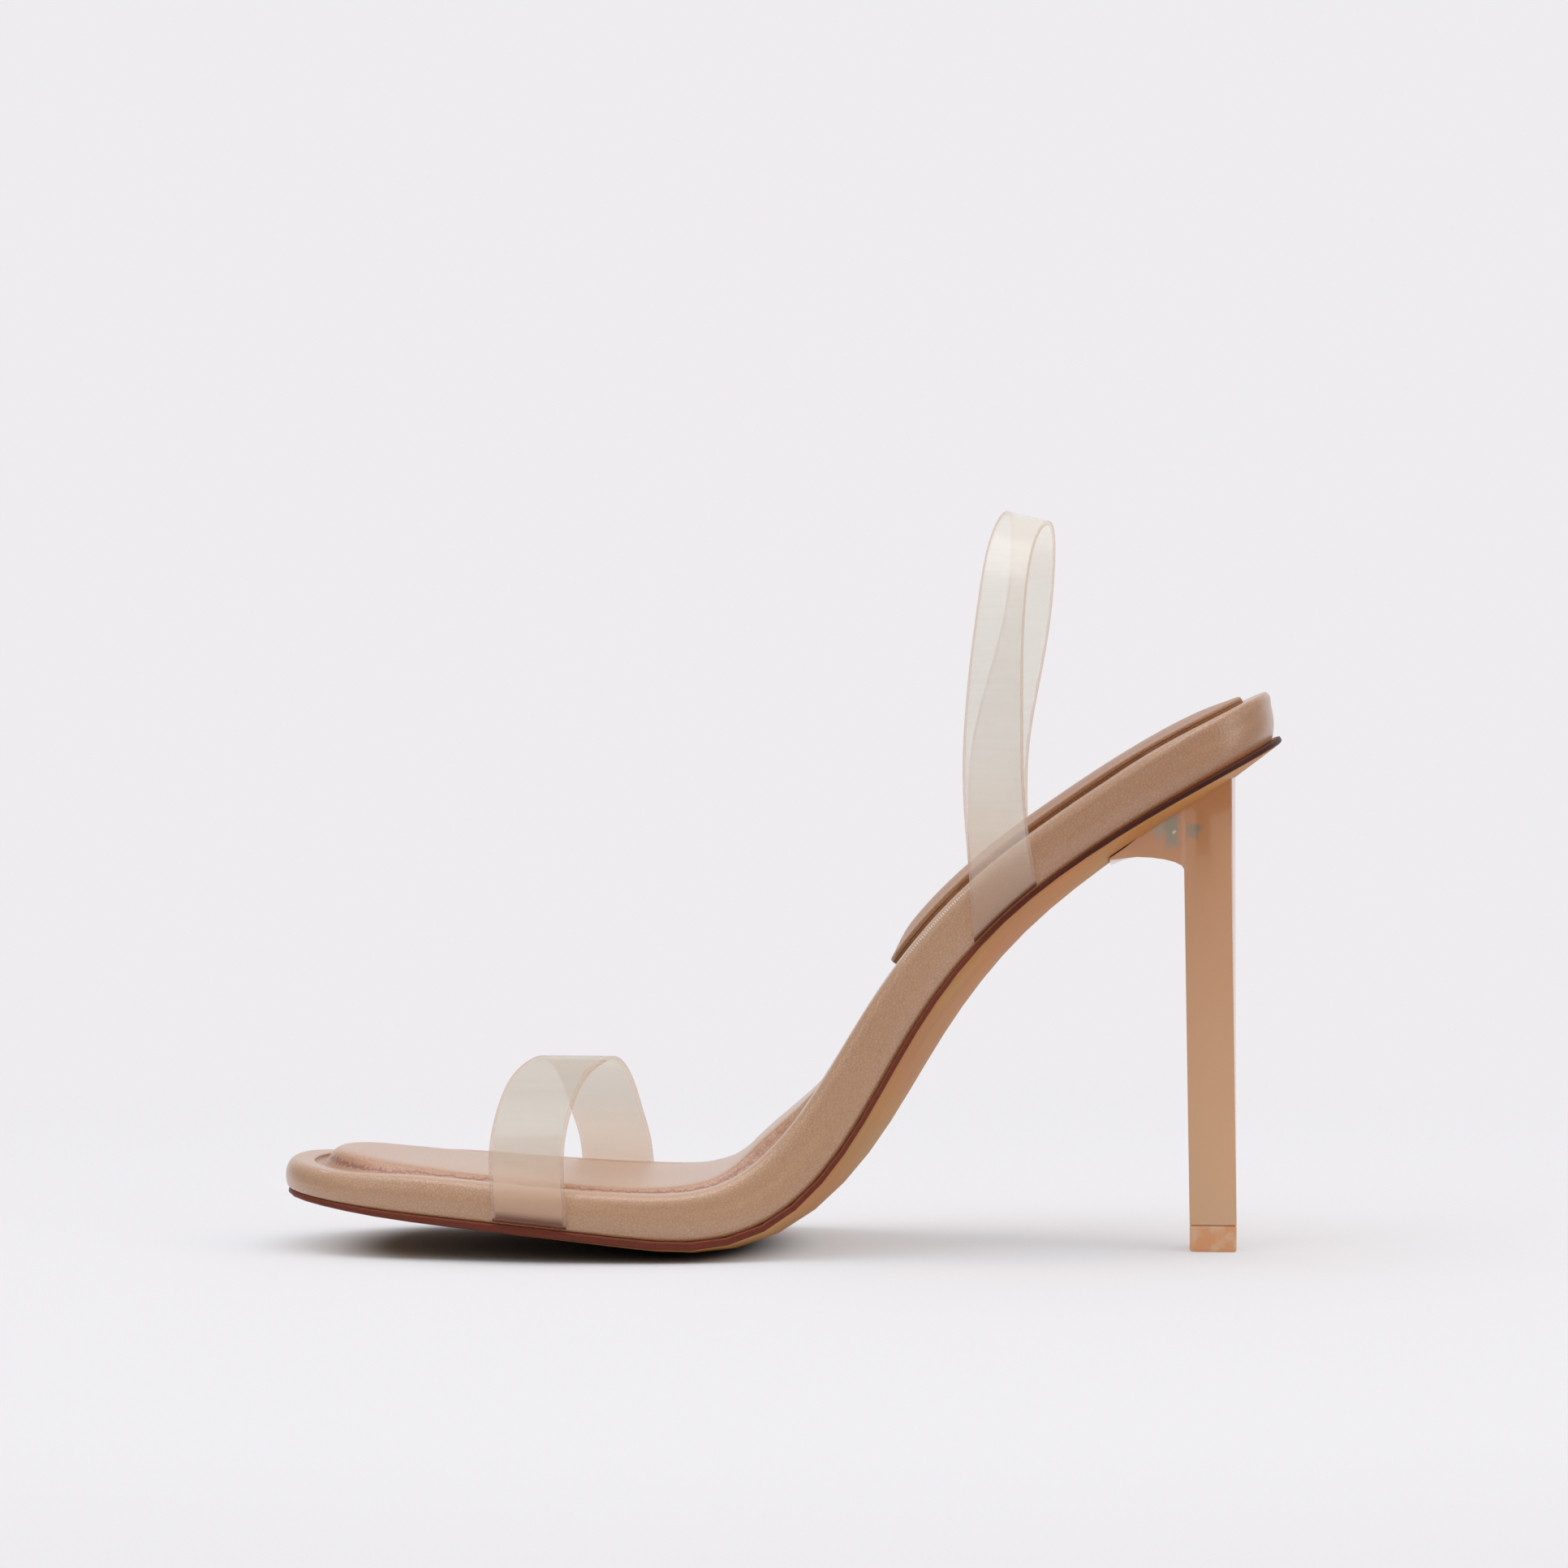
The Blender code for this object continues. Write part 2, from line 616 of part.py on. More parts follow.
def heel_slice(spread):
    """Outline of the heel seen from its side, at a share of its half width from the middle."""
    front = -HEEL_DEPTH / 2
    back = HEEL_DEPTH / 2
    joint = TIP_HEIGHT + CLEARANCE
    seat = under_sole(front, 0.0)
    flange_end = seat - FLANGE_DEPTH
    top_across = spread * HEEL_TOP_WIDTH / 2

    def up_share(z):
        return min(max((z - joint) / (seat - joint), 0.0), 1.0)

    def across(z):
        width = HEEL_TIP_WIDTH + (HEEL_TOP_WIDTH - HEEL_TIP_WIDTH) * up_share(z)
        return spread * width / 2

    def front_x(z):
        return front - HEEL_TOP_SHIFT * up_share(z)

    def back_x(z):
        rounded = HEEL_BACK_CROWN * (1 - spread ** 2)
        return back + (rounded - HEEL_TOP_SHIFT) * up_share(z)

    def top_point(x):
        slope = math.atan(float(numpy.interp(x - TOE_X, profile_x, profile_slope)))
        return Vector((x, top_across, under_sole(x, top_across) - CLEARANCE / math.cos(slope)))

    flange_front = front_x(seat) - FLANGE_REACH
    top_back = back_x(seat)
    points = []
    for step in range(HEEL_TOP_STEPS + 1):
        points.append(top_point(flange_front + (top_back - flange_front) * step / HEEL_TOP_STEPS))
    lowest_top = points[-1].z
    for step in range(1, HEEL_SIDE_STEPS + 1):
        z = lowest_top + (joint - lowest_top) * step / HEEL_SIDE_STEPS
        points.append(Vector((back_x(z), across(z), z)))
    sweep_start = flange_end - FLANGE_DROP
    for step in range(HEEL_SIDE_STEPS + 1):
        z = joint + (sweep_start - joint) * step / HEEL_SIDE_STEPS
        points.append(Vector((front_x(z), across(z), z)))
    for degrees in SWEEP_TURNS:
        turn = math.radians(degrees)
        z = flange_end - FLANGE_DROP * (1 - math.sin(turn))
        points.append(Vector((front_x(z) - FLANGE_SWEEP * (1 - math.cos(turn)), across(z), z)))
    lip = points[0] - Vector((0.0, 0.0, FLANGE_LIP))
    points.append(points[-1].lerp(lip, 0.5))
    points.append(lip)
    return points


def make_heel():
    """Clear slab: a straight column with a flange that reaches forward under the waist."""
    slices = [heel_slice(2 * number / HEEL_SLICES - 1) for number in range(HEEL_SLICES + 1)]
    builder = bmesh.new()
    made = loft(builder, slices, closed=True)
    builder.faces.new(made[0])
    builder.faces.new(reversed(made[-1]))
    return piece_from(builder, "heel", finish("clear_acrylic", (0.66, 0.46, 0.33), 0.08, 0.5, 1.49), 30)


def make_heel_tip():
    """Top piece that wears on the floor."""
    bpy.ops.mesh.primitive_cube_add(size=1.0)
    tip = bpy.context.active_object
    tip.name = "heel_tip"
    tip.data.name = "heel_tip"
    tip.data.transform(Matrix.Diagonal((HEEL_DEPTH, HEEL_TIP_WIDTH, TIP_HEIGHT, 1.0)))
    tip.data.transform(Matrix.Translation((0.0, 0.0, TIP_HEIGHT / 2)))
    tip.data.materials.append(finish("heel_tip_rubber", (0.50, 0.27, 0.13), 0.35))
    edge = tip.modifiers.new("worn_edges", "BEVEL")
    edge.width = TIP_EDGE
    edge.segments = 2
    for collection in list(tip.users_collection):
        collection.objects.unlink(tip)
    bpy.data.collections[COLLECTION_NAME].objects.link(tip)
    return tip


def build():
    """Clears the scene and builds the sandal from the floor up."""
    for thing in list(bpy.data.objects):
        bpy.data.objects.remove(thing, do_unlink=True)
    collection = bpy.data.collections.new(COLLECTION_NAME)
    bpy.context.scene.collection.children.link(collection)
    make_heel_tip()
    make_heel()
    make_outsole()
    make_footbed()
    make_heel_pad()
    make_front_strap()
    make_slingback()


build()
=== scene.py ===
"""Looks of a strappy heeled sandal for the right foot, on a pale studio floor.

The toe points to -X and the inner side of the foot faces -Y and the camera. The origin is the
middle of the heel tip, on the floor. Sizes are in metres, and a pattern's scale is written from
its size in millimetres, or as repeats for each millimetre, such as 0.9 / MM.
"""

import math
from collections import namedtuple

import bmesh
import bpy
import numpy
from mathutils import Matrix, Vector, noise
from mathutils.bvhtree import BVHTree


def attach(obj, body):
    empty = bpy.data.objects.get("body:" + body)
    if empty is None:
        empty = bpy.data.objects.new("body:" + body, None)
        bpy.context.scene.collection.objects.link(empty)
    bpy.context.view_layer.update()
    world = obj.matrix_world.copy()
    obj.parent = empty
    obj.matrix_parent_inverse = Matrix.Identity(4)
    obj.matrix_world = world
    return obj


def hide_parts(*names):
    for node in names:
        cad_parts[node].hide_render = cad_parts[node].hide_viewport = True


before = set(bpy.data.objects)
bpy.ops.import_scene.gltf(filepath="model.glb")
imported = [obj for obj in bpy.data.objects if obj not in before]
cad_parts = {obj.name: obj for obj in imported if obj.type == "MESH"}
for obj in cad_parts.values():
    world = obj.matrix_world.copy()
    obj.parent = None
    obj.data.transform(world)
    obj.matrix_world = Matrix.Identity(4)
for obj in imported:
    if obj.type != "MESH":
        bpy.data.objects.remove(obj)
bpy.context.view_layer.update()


# Outsole
# A thin sheet of moulded TPU, tan underneath, crowned across and bent along the last. Its cut
# edge is ground and stained dark brown, and it is cemented under the wrapped footbed.

MM = 0.001
SOLE_LENGTH = 0.2125
HEEL_RISE = 0.1055
TOE_SPRING = 0.0085
BALL_WIDTH = 0.077
SEAM_LOWEST = 0.00496
HEEL_OVERHANG = 0.0137
TOE_ROUND = 0.030
HEEL_ROUND = 0.025
END_POWER = 2.25
END_TURN = 0.9
SEAM_SAMPLES = 500
CHUNK = 20000
WELD = 0.002 * MM
EDGE_DEPTH = 0.00225
EDGE_INSET = 0.00075
# Where the painted shade over the seat begins and is full, along the run from the toe
SEAT_START = 0.170
SEAT_FULL = 0.215

# The seam between the outsole and the wrap, one row for each section from toe to heel. x is a
# share of SOLE_LENGTH, spring of TOE_SPRING, rise of HEEL_RISE, inner and outer of BALL_WIDTH.
Section = namedtuple("Section", "x spring rise inner outer")
LAST = (
    Section(0.000, 1.00, 0.000, 0.420, 0.330),
    Section(0.055, 0.83, 0.000, 0.421, 0.362),
    Section(0.120, 0.64, 0.000, 0.430, 0.395),
    Section(0.235, 0.38, 0.000, 0.476, 0.466),
    Section(0.350, 0.10, 0.000, 0.497, 0.503),
    Section(0.430, 0.00, 0.000, 0.472, 0.516),
    Section(0.480, 0.00, 0.022, 0.434, 0.497),
    Section(0.525, 0.00, 0.080, 0.396, 0.460),
    Section(0.575, 0.00, 0.203, 0.355, 0.412),
    Section(0.635, 0.00, 0.412, 0.325, 0.370),
    Section(0.710, 0.00, 0.608, 0.316, 0.348),
    Section(0.800, 0.00, 0.760, 0.330, 0.348),
    Section(0.900, 0.00, 0.888, 0.350, 0.358),
    Section(1.000, 0.00, 1.000, 0.350, 0.352),
)


def last_column(name, size, at):
    """One column of the table as a smooth curve, at an array of distances from the toe."""
    knots = numpy.array([row.x * SOLE_LENGTH for row in LAST])
    values = numpy.array([getattr(row, name) * size for row in LAST])
    gaps = numpy.diff(knots)
    slopes = numpy.diff(values) / gaps
    matrix = numpy.eye(len(knots))
    bends = numpy.zeros(len(knots))
    for i in range(1, len(knots) - 1):
        matrix[i, i - 1:i + 2] = gaps[i - 1], 2 * (gaps[i - 1] + gaps[i]), gaps[i]
        bends[i] = 6 * (slopes[i] - slopes[i - 1])
    bends = numpy.linalg.solve(matrix, bends)
    i = numpy.clip(numpy.searchsorted(knots, at) - 1, 0, len(knots) - 2)
    before = at - knots[i]
    after = knots[i + 1] - at
    bent = (bends[i] * after ** 3 + bends[i + 1] * before ** 3) / (6 * gaps[i])
    start = (values[i] / gaps[i] - bends[i] * gaps[i] / 6) * after
    return bent + start + (values[i + 1] / gaps[i] - bends[i + 1] * gaps[i] / 6) * before


seam_x = numpy.linspace(0, SOLE_LENGTH, SEAM_SAMPLES)
seam_z = (SEAM_LOWEST + last_column("spring", TOE_SPRING, seam_x)
          + last_column("rise", HEEL_RISE, seam_x))
seam_steps = numpy.hypot(numpy.diff(seam_x), numpy.diff(seam_z))
seam_along = numpy.concatenate(([0.0], numpy.cumsum(seam_steps)))
seam_angle = numpy.arctan(numpy.gradient(seam_z, seam_x))
seam_inner = last_column("inner", BALL_WIDTH, seam_x)
seam_outer = last_column("outer", BALL_WIDTH, seam_x)
SOLE_ARC = float(seam_along[-1])


def way_of(points):
    """Where points lie on the sole, as three columns: the run along its outline from the toe,
    the inset from the outline, and the height square above the seam."""
    x = points[:, 0] - HEEL_OVERHANG + SOLE_LENGTH
    z = points[:, 2]
    nearest = numpy.empty(len(points), dtype=int)
    for start in range(0, len(points), CHUNK):
        part = slice(start, start + CHUNK)
        gaps = (x[part, None] - seam_x) ** 2 + (z[part, None] - seam_z) ** 2
        nearest[part] = gaps.argmin(1)
    sine = numpy.sin(seam_angle[nearest])
    cosine = numpy.cos(seam_angle[nearest])
    off_x = x - seam_x[nearest]
    off_z = z - seam_z[nearest]
    along = seam_along[nearest] + off_x * cosine + off_z * sine
    above = off_z * cosine - off_x * sine
    middle = (seam_outer - seam_inner)[nearest] / 2
    half = (seam_outer + seam_inner)[nearest] / 2
    side = numpy.abs(points[:, 1] - middle)
    toe = numpy.clip(TOE_ROUND - along, 0, None)
    heel = numpy.clip(along - SOLE_ARC + HEEL_ROUND, 0, None)
    out = (toe / TOE_ROUND + heel / HEEL_ROUND) ** END_POWER + (side / half) ** END_POWER
    inset = half * (1 - out ** (1 / END_POWER))
    turn = numpy.arctan2(toe, side + MM) - numpy.arctan2(heel, side + MM)
    run = numpy.clip(along, TOE_ROUND, SOLE_ARC - HEEL_ROUND) - turn * TOE_ROUND * END_TURN
    return numpy.stack((run, inset, above), axis=1)


def merged_copy(node, name, join=True):
    """A new piece with a CAD node's shape: its loose triangles merged, and quads restored."""
    builder = bmesh.new()
    builder.from_mesh(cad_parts[node].data)
    bmesh.ops.remove_doubles(builder, verts=builder.verts, dist=WELD)
    if join:
        bmesh.ops.join_triangles(builder, faces=builder.faces, angle_face_threshold=0.7,
                                 angle_shape_threshold=1.2, cmp_seam=False, cmp_sharp=False,
                                 cmp_uvs=False, cmp_vcols=False, cmp_materials=False)
    mesh = bpy.data.meshes.new(name)
    builder.to_mesh(mesh)
    builder.free()
    mesh.materials.clear()
    mesh.shade_smooth()
    piece = bpy.data.objects.new(name, mesh)
    bpy.context.scene.collection.objects.link(piece)
    return piece


def applied(piece):
    """Gives a piece its modifiers' result as its own mesh."""
    graph = bpy.context.evaluated_depsgraph_get()
    mesh = bpy.data.meshes.new_from_object(piece.evaluated_get(graph))
    piece.modifiers.clear()
    piece.data = mesh


def points_of(piece):
    """A piece's vertices as rows of an array."""
    flat = numpy.empty(len(piece.data.vertices) * 3)
    piece.data.vertices.foreach_get("co", flat)
    return flat.reshape(-1, 3)


def store_way(piece, way):
    """Keeps each vertex's way on the sole for the materials."""
    attribute = piece.data.attributes.new("way", "FLOAT_VECTOR", "POINT")
    attribute.data.foreach_set("vector", way.ravel())


def linear(code):
    """Scene-linear colour of an sRGB hex code."""
    shares = [int(code[i:i + 2], 16) / 255 for i in (1, 3, 5)]
    return (*[s / 12.92 if s <= 0.04045 else ((s + 0.055) / 1.055) ** 2.4 for s in shares], 1.0)


def new_material(name):
    """A material with only its Principled shader, as (material, tree, shader)."""
    material = bpy.data.materials.new(name)
    material.use_nodes = True
    return material, material.node_tree, material.node_tree.nodes["Principled BSDF"]


def add_node(tree, kind, settings=None, links=None):
    """Adds a node. Settings and links name its properties or its inputs, by name or number."""
    node = tree.nodes.new(kind)
    for name, value in (settings or {}).items():
        if isinstance(name, int) or name in node.inputs:
            node.inputs[name].default_value = value
        else:
            setattr(node, name, value)
    for name, source in (links or {}).items():
        tree.links.new(source, node.inputs[name])
    return node


outsole = merged_copy("outsole", "outsole_sheet_tan")
ground = outsole.modifiers.new("ground_edge", "BEVEL")
ground.width = 0.12 * MM
ground.segments = 2
ground.limit_method = "ANGLE"
ground.angle_limit = math.radians(35)
applied(outsole)
outsole_way = way_of(points_of(outsole))
store_way(outsole, outsole_way)
outsole.data.shade_smooth()
outsole.data.set_sharp_from_angle(angle=math.radians(50))

# Moulded TPU sheet, satin: faint flow streaks 1 mm across and 17 mm long, and a scuffed bloom
sheet, tree, shader = new_material("moulded_tpu_sheet")
place = add_node(tree, "ShaderNodeTexCoord")
streak_map = add_node(tree, "ShaderNodeMapping", {"Scale": (0.06 / MM, 0.9 / MM, 0.06 / MM)},
                      {"Vector": place.outputs["Object"]})
streaks = add_node(tree, "ShaderNodeTexNoise", {"Scale": 1.0, "Detail": 3.0},
                   {"Vector": streak_map.outputs[0]})
bloom = add_node(tree, "ShaderNodeTexNoise", {"Scale": 0.045 / MM, "Detail": 2.0},
                 {"Vector": place.outputs["Object"]})
tan = add_node(tree, "ShaderNodeMix",
               {"data_type": "RGBA", 6: linear("#C68C4D"), 7: linear("#B37A3F")},
               {0: streaks.outputs["Fac"]})
paler = add_node(tree, "ShaderNodeMix",
                 {"data_type": "RGBA", "blend_type": "SOFT_LIGHT", 0: 0.35},
                 {6: tan.outputs[2], 7: bloom.outputs["Color"]})
tree.links.new(paler.outputs[2], shader.inputs["Base Color"])
matt = add_node(tree, "ShaderNodeMapRange", {"To Min": 0.46, "To Max": 0.60},
                {"Value": bloom.outputs["Fac"]})
tree.links.new(matt.outputs[0], shader.inputs["Roughness"])
shader.inputs["Specular IOR Level"].default_value = 0.3
flow = add_node(tree, "ShaderNodeBump", {"Strength": 0.12, "Distance": 0.05 * MM},
                {"Height": streaks.outputs["Fac"]})
tree.links.new(flow.outputs[0], shader.inputs["Normal"])
shader.inputs["IOR"].default_value = 1.5

# Ground edge under brown edge ink: two fine lips with a paler groove between, slightly glossy
ink, tree, shader = new_material("stained_sole_edge")
way = add_node(tree, "ShaderNodeAttribute", {"attribute_name": "way"})
parts = add_node(tree, "ShaderNodeSeparateXYZ", links={0: way.outputs["Vector"]})
place = add_node(tree, "ShaderNodeTexCoord")
brush = add_node(tree, "ShaderNodeTexNoise", {"Scale": 0.9 / MM, "Detail": 3.0},
                 {"Vector": place.outputs["Object"]})
depth = add_node(tree, "ShaderNodeMath", {"operation": "MULTIPLY", 1: -1 / MM},
                 {0: parts.outputs["Z"]})
groove = add_node(tree, "ShaderNodeMapRange",
                  {"interpolation_type": "SMOOTHSTEP", "From Min": 0.75, "From Max": 0.45},
                  {"Value": depth.outputs[0]})
lip = add_node(tree, "ShaderNodeMapRange",
               {"interpolation_type": "SMOOTHSTEP", "From Min": 0.10, "From Max": 0.35},
               {"Value": depth.outputs[0]})
band = add_node(tree, "ShaderNodeMath", {"operation": "MULTIPLY"},
                {0: groove.outputs[0], 1: lip.outputs[0]})
brown = add_node(tree, "ShaderNodeMix",
                 {"data_type": "RGBA", 6: linear("#703222"), 7: linear("#884830")},
                 {0: band.outputs[0]})
worn = add_node(tree, "ShaderNodeMix",
                {"data_type": "RGBA", "blend_type": "SOFT_LIGHT", 0: 0.4},
                {6: brown.outputs[2], 7: brush.outputs["Color"]})
# Painted shade: the edge ink is darkened over the seat, where less light falls
edge_seat_painted_shade = add_node(tree, "ShaderNodeMapRange",
                     {"interpolation_type": "SMOOTHSTEP",
                      "From Min": SEAT_START, "From Max": SEAT_FULL},
                     {"Value": parts.outputs["X"]})
darker = add_node(tree, "ShaderNodeMix",
                  {"data_type": "RGBA", "blend_type": "MULTIPLY", 7: linear("#9E8A80")},
                  {6: worn.outputs[2], 0: edge_seat_painted_shade.outputs[0]})
tree.links.new(darker.outputs[2], shader.inputs["Base Color"])
shader.inputs["Roughness"].default_value = 0.5
shader.inputs["Specular IOR Level"].default_value = 0.25
sunk = add_node(tree, "ShaderNodeBump",
                {"Strength": 0.5, "Distance": 0.12 * MM, "invert": True},
                {"Height": band.outputs[0]})
tree.links.new(sunk.outputs[0], shader.inputs["Normal"])

outsole.data.materials.append(sheet)
outsole.data.materials.append(ink)
for face in outsole.data.polygons:
    spots = outsole_way[list(face.vertices)]
    if spots[:, 1].max() < EDGE_INSET and spots[:, 2].min() > -EDGE_DEPTH:
        face.material_index = 1
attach(outsole, "root")
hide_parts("outsole")


# Footbed
# A board with thin foam on it, wrapped in smooth nude synthetic leather. The wrap is pulled
# down over the rounded rim and lasted under; a groove runs inside the rim round the soft
# cushion under the toes, and the leather puckers finely where the groove draws it in.

# Insets are from the outline, heights from the seam, and ends along the sole from the toe
CUSHION_END = 0.134
RIM_SOFTNESS = 0.00012
RIM_WAVES = 0.055 / MM
RIM_MIDDLE = 0.0014
RIM_REACH = 0.0036
SOFT_FROM = 0.0015
SHOULDER_PULL = 0.0006
WALL_MIDDLE = 0.003
WALL_BULGE = 0.00032
# The bulge starts where the wall turns down from the rim, and is full where it is upright
BULGE_LEAN = 0.9
UPRIGHT_LEAN = 0.1
PUCKER_DEPTH = 0.00010
PUCKER_WAVES = 0.42 / MM
PUCKER_DRIFT = 0.015 / MM
PUCKER_SEED = 3.0
PUCKER_INSET = 0.0101
PUCKER_REACH = 0.0022
PUCKER_END = 0.126
PUCKER_FADE = 0.003
SEAM_CLOSE = 0.00050
SEAM_FROM = 0.0018
SEAM_FULL = 0.0004
# The groove's front end is drawn towards the toe, from one place on X to the other
TOE_REACH = 0.0034
TOE_FROM = -0.148
TOE_FULL = -0.187
RIM_INSET = 0.0040
GROOVE_INSET = 0.0085
CREASE_INSET = 0.0108
CREASE_WOBBLE = 0.0024


def subdivided(piece, levels):
    """Applies a smooth subdivision."""
    smooth = piece.modifiers.new("smooth", "SUBSURF")
    smooth.levels = levels
    smooth.render_levels = levels
    applied(piece)


def normals_of(piece):
    """A piece's vertex normals as rows of an array."""
    flat = numpy.empty(len(piece.data.vertices) * 3)
    piece.data.vertex_normals.foreach_get("vector", flat)
    return flat.reshape(-1, 3)


def slope_at(run):
    """The seam's angle at an array of runs along the sole."""
    return seam_angle[numpy.clip(numpy.searchsorted(seam_along, run), 0, SEAM_SAMPLES - 1)]


def soft_step(start, end, values):
    """0 before start and 1 after end, with a smooth rise between them."""
    share = numpy.clip((values - start) / (end - start), 0, 1)
    return share * share * (3 - 2 * share)


footbed = merged_copy("footbed", "footbed_wrap")
subdivided(footbed, levels=3)
spots = points_of(footbed)
normals = normals_of(footbed)
footbed_way = way_of(spots)
run, inset, above = footbed_way.T
slope = slope_at(run)
lean = numpy.clip(normals[:, 2] * numpy.cos(slope) - normals[:, 0] * numpy.sin(slope), 0, 1)
rim = numpy.sqrt(numpy.clip(1 - numpy.abs(inset - RIM_MIDDLE) / RIM_REACH, 0, 1))
shoulder = 4 * lean ** 2 * (1 - lean ** 2) * rim * (above > WALL_MIDDLE)
wall = 1 - numpy.clip(above / WALL_MIDDLE - 1, -1, 1) ** 2
upright = soft_step(BULGE_LEAN, UPRIGHT_LEAN, lean)
moves = SHOULDER_PULL * shoulder + WALL_BULGE * wall * upright
forefoot = 1 / (1 + numpy.exp((run - PUCKER_END) / PUCKER_FADE))
for i in numpy.nonzero(above > SOFT_FROM)[0]:
    soft = noise.noise(Vector(spots[i]) * RIM_WAVES)
    pull = noise.noise(Vector((run[i] * PUCKER_WAVES, spots[i, 1] * PUCKER_DRIFT, PUCKER_SEED)))
    near_groove = math.exp(-((inset[i] - PUCKER_INSET) / PUCKER_REACH) ** 2)
    moves[i] += soft * RIM_SOFTNESS + pull * PUCKER_DEPTH * near_groove * forefoot[i]
spots = spots + normals * moves[:, None]
spots[:, 2] -= SEAM_CLOSE * soft_step(SEAM_FROM, SEAM_FULL, above)
forward = soft_step(TOE_FROM, TOE_FULL, spots[:, 0]) * soft_step(RIM_INSET, GROOVE_INSET, inset)
spots[:, 0] -= TOE_REACH * forward
footbed.data.vertices.foreach_set("co", spots.ravel())
footbed.data.update()
store_way(footbed, footbed_way)
footbed.data.shade_smooth()

# Polyurethane-coated synthetic leather, embossed with a fine calf grain under a soft satin
# coat. The real grain is about 0.4 mm, and is drawn at 0.75 mm so that it shows
wrap, tree, shader = new_material("pu_coated_synthetic_leather")
place = add_node(tree, "ShaderNodeTexCoord")
way = add_node(tree, "ShaderNodeAttribute", {"attribute_name": "way"})
parts = add_node(tree, "ShaderNodeSeparateXYZ", links={0: way.outputs["Vector"]})
cells = add_node(tree, "ShaderNodeTexVoronoi",
                 {"feature": "DISTANCE_TO_EDGE", "Scale": 1 / (0.75 * MM)},
                 {"Vector": place.outputs["Object"]})
grain = add_node(tree, "ShaderNodeMapRange", {"From Max": 0.12},
                 {"Value": cells.outputs["Distance"]})
pores = add_node(tree, "ShaderNodeTexNoise", {"Scale": 1 / (1.4 * MM), "Detail": 4.0},
                 {"Vector": place.outputs["Object"]})
tone = add_node(tree, "ShaderNodeTexNoise", {"Scale": 0.038 / MM, "Detail": 2.0},
                {"Vector": place.outputs["Object"]})
nude = add_node(tree, "ShaderNodeMix",
                {"data_type": "RGBA", 6: linear("#BE8E68"), 7: linear("#C69872")},
                {0: tone.outputs["Fac"]})
# Painted shade: the leather is darkened over the seat, where less light falls; the pad's sock
# shares it
seat_painted_shade = add_node(tree, "ShaderNodeMapRange",
                     {"interpolation_type": "SMOOTHSTEP",
                      "From Min": SEAT_START, "From Max": SEAT_FULL},
                     {"Value": parts.outputs["X"]})
nude = add_node(tree, "ShaderNodeMix",
                {"data_type": "RGBA", "blend_type": "MULTIPLY", 7: linear("#F3E9DF")},
                {6: nude.outputs[2], 0: seat_painted_shade.outputs[0]})
grain_pale = add_node(tree, "ShaderNodeMix",
                      {"data_type": "RGBA", 6: linear("#EFE8E2"), 7: linear("#FFFFFF")},
                      {0: grain.outputs[0]})
nude = add_node(tree, "ShaderNodeMix",
                {"data_type": "RGBA", "blend_type": "MULTIPLY", 0: 1.0},
                {6: nude.outputs[2], 7: grain_pale.outputs[2]})

# The groove round the toe cushion has painted shade, and it fades out behind the cushion
groove_near = add_node(tree, "ShaderNodeMapRange",
                       {"interpolation_type": "SMOOTHSTEP", "From Min": 0.0085,
                        "From Max": 0.0104}, {"Value": parts.outputs["Y"]})
groove_far = add_node(tree, "ShaderNodeMapRange",
                      {"interpolation_type": "SMOOTHSTEP", "From Min": 0.0136,
                       "From Max": 0.0114}, {"Value": parts.outputs["Y"]})
toe_part = add_node(tree, "ShaderNodeMapRange",
                    {"interpolation_type": "SMOOTHSTEP", "From Min": CUSHION_END,
                     "From Max": CUSHION_END - 0.014}, {"Value": parts.outputs["X"]})
in_groove = add_node(tree, "ShaderNodeMath", {"operation": "MULTIPLY"},
                     {0: groove_near.outputs[0], 1: groove_far.outputs[0]})
in_groove = add_node(tree, "ShaderNodeMath", {"operation": "MULTIPLY"},
                     {0: in_groove.outputs[0], 1: toe_part.outputs[0]})
shaded = add_node(tree, "ShaderNodeMix",
                  {"data_type": "RGBA", "blend_type": "MULTIPLY", 7: linear("#FAE6D2")},
                  {6: nude.outputs[2], 0: in_groove.outputs[0]})

# A fine wandering crease with painted shade lies in the groove, with crinkles slanting into it
crinkle_map = add_node(tree, "ShaderNodeMapping",
                       {"Rotation": (0, 0, math.radians(28)),
                        "Scale": (1 / (1.3 * MM), 1 / (2.4 * MM), 0)},
                       {"Vector": way.outputs["Vector"]})
crinkles = add_node(tree, "ShaderNodeTexNoise", {"Scale": 1.0, "Detail": 4.0, "Distortion": 0.8},
                    {"Vector": crinkle_map.outputs[0]})
crease_gap = add_node(tree, "ShaderNodeMath", {"operation": "SUBTRACT", 1: CREASE_INSET},
                      {0: parts.outputs["Y"]})
crease_way = add_node(tree, "ShaderNodeMath", {"operation": "MULTIPLY_ADD", 1: CREASE_WOBBLE},
                      {0: crinkles.outputs["Fac"], 2: crease_gap.outputs[0]})
crease_off = add_node(tree, "ShaderNodeMath", {"operation": "SUBTRACT", 1: CREASE_WOBBLE / 2},
                      {0: crease_way.outputs[0]})
crease_far = add_node(tree, "ShaderNodeMath", {"operation": "ABSOLUTE"},
                      {0: crease_off.outputs[0]})
crease_painted_shade = add_node(tree, "ShaderNodeMapRange",
                  {"interpolation_type": "SMOOTHSTEP", "From Min": 0.45 * MM,
                   "From Max": 0.08 * MM}, {"Value": crease_far.outputs[0]})
bend_fade = add_node(tree, "ShaderNodeMapRange",
                     {"interpolation_type": "SMOOTHSTEP", "From Min": 0.118,
                      "From Max": 0.096, "To Min": 0.35}, {"Value": parts.outputs["X"]})
crease_painted_shade = add_node(tree, "ShaderNodeMath", {"operation": "MULTIPLY"},
                  {0: crease_painted_shade.outputs[0], 1: toe_part.outputs[0]})
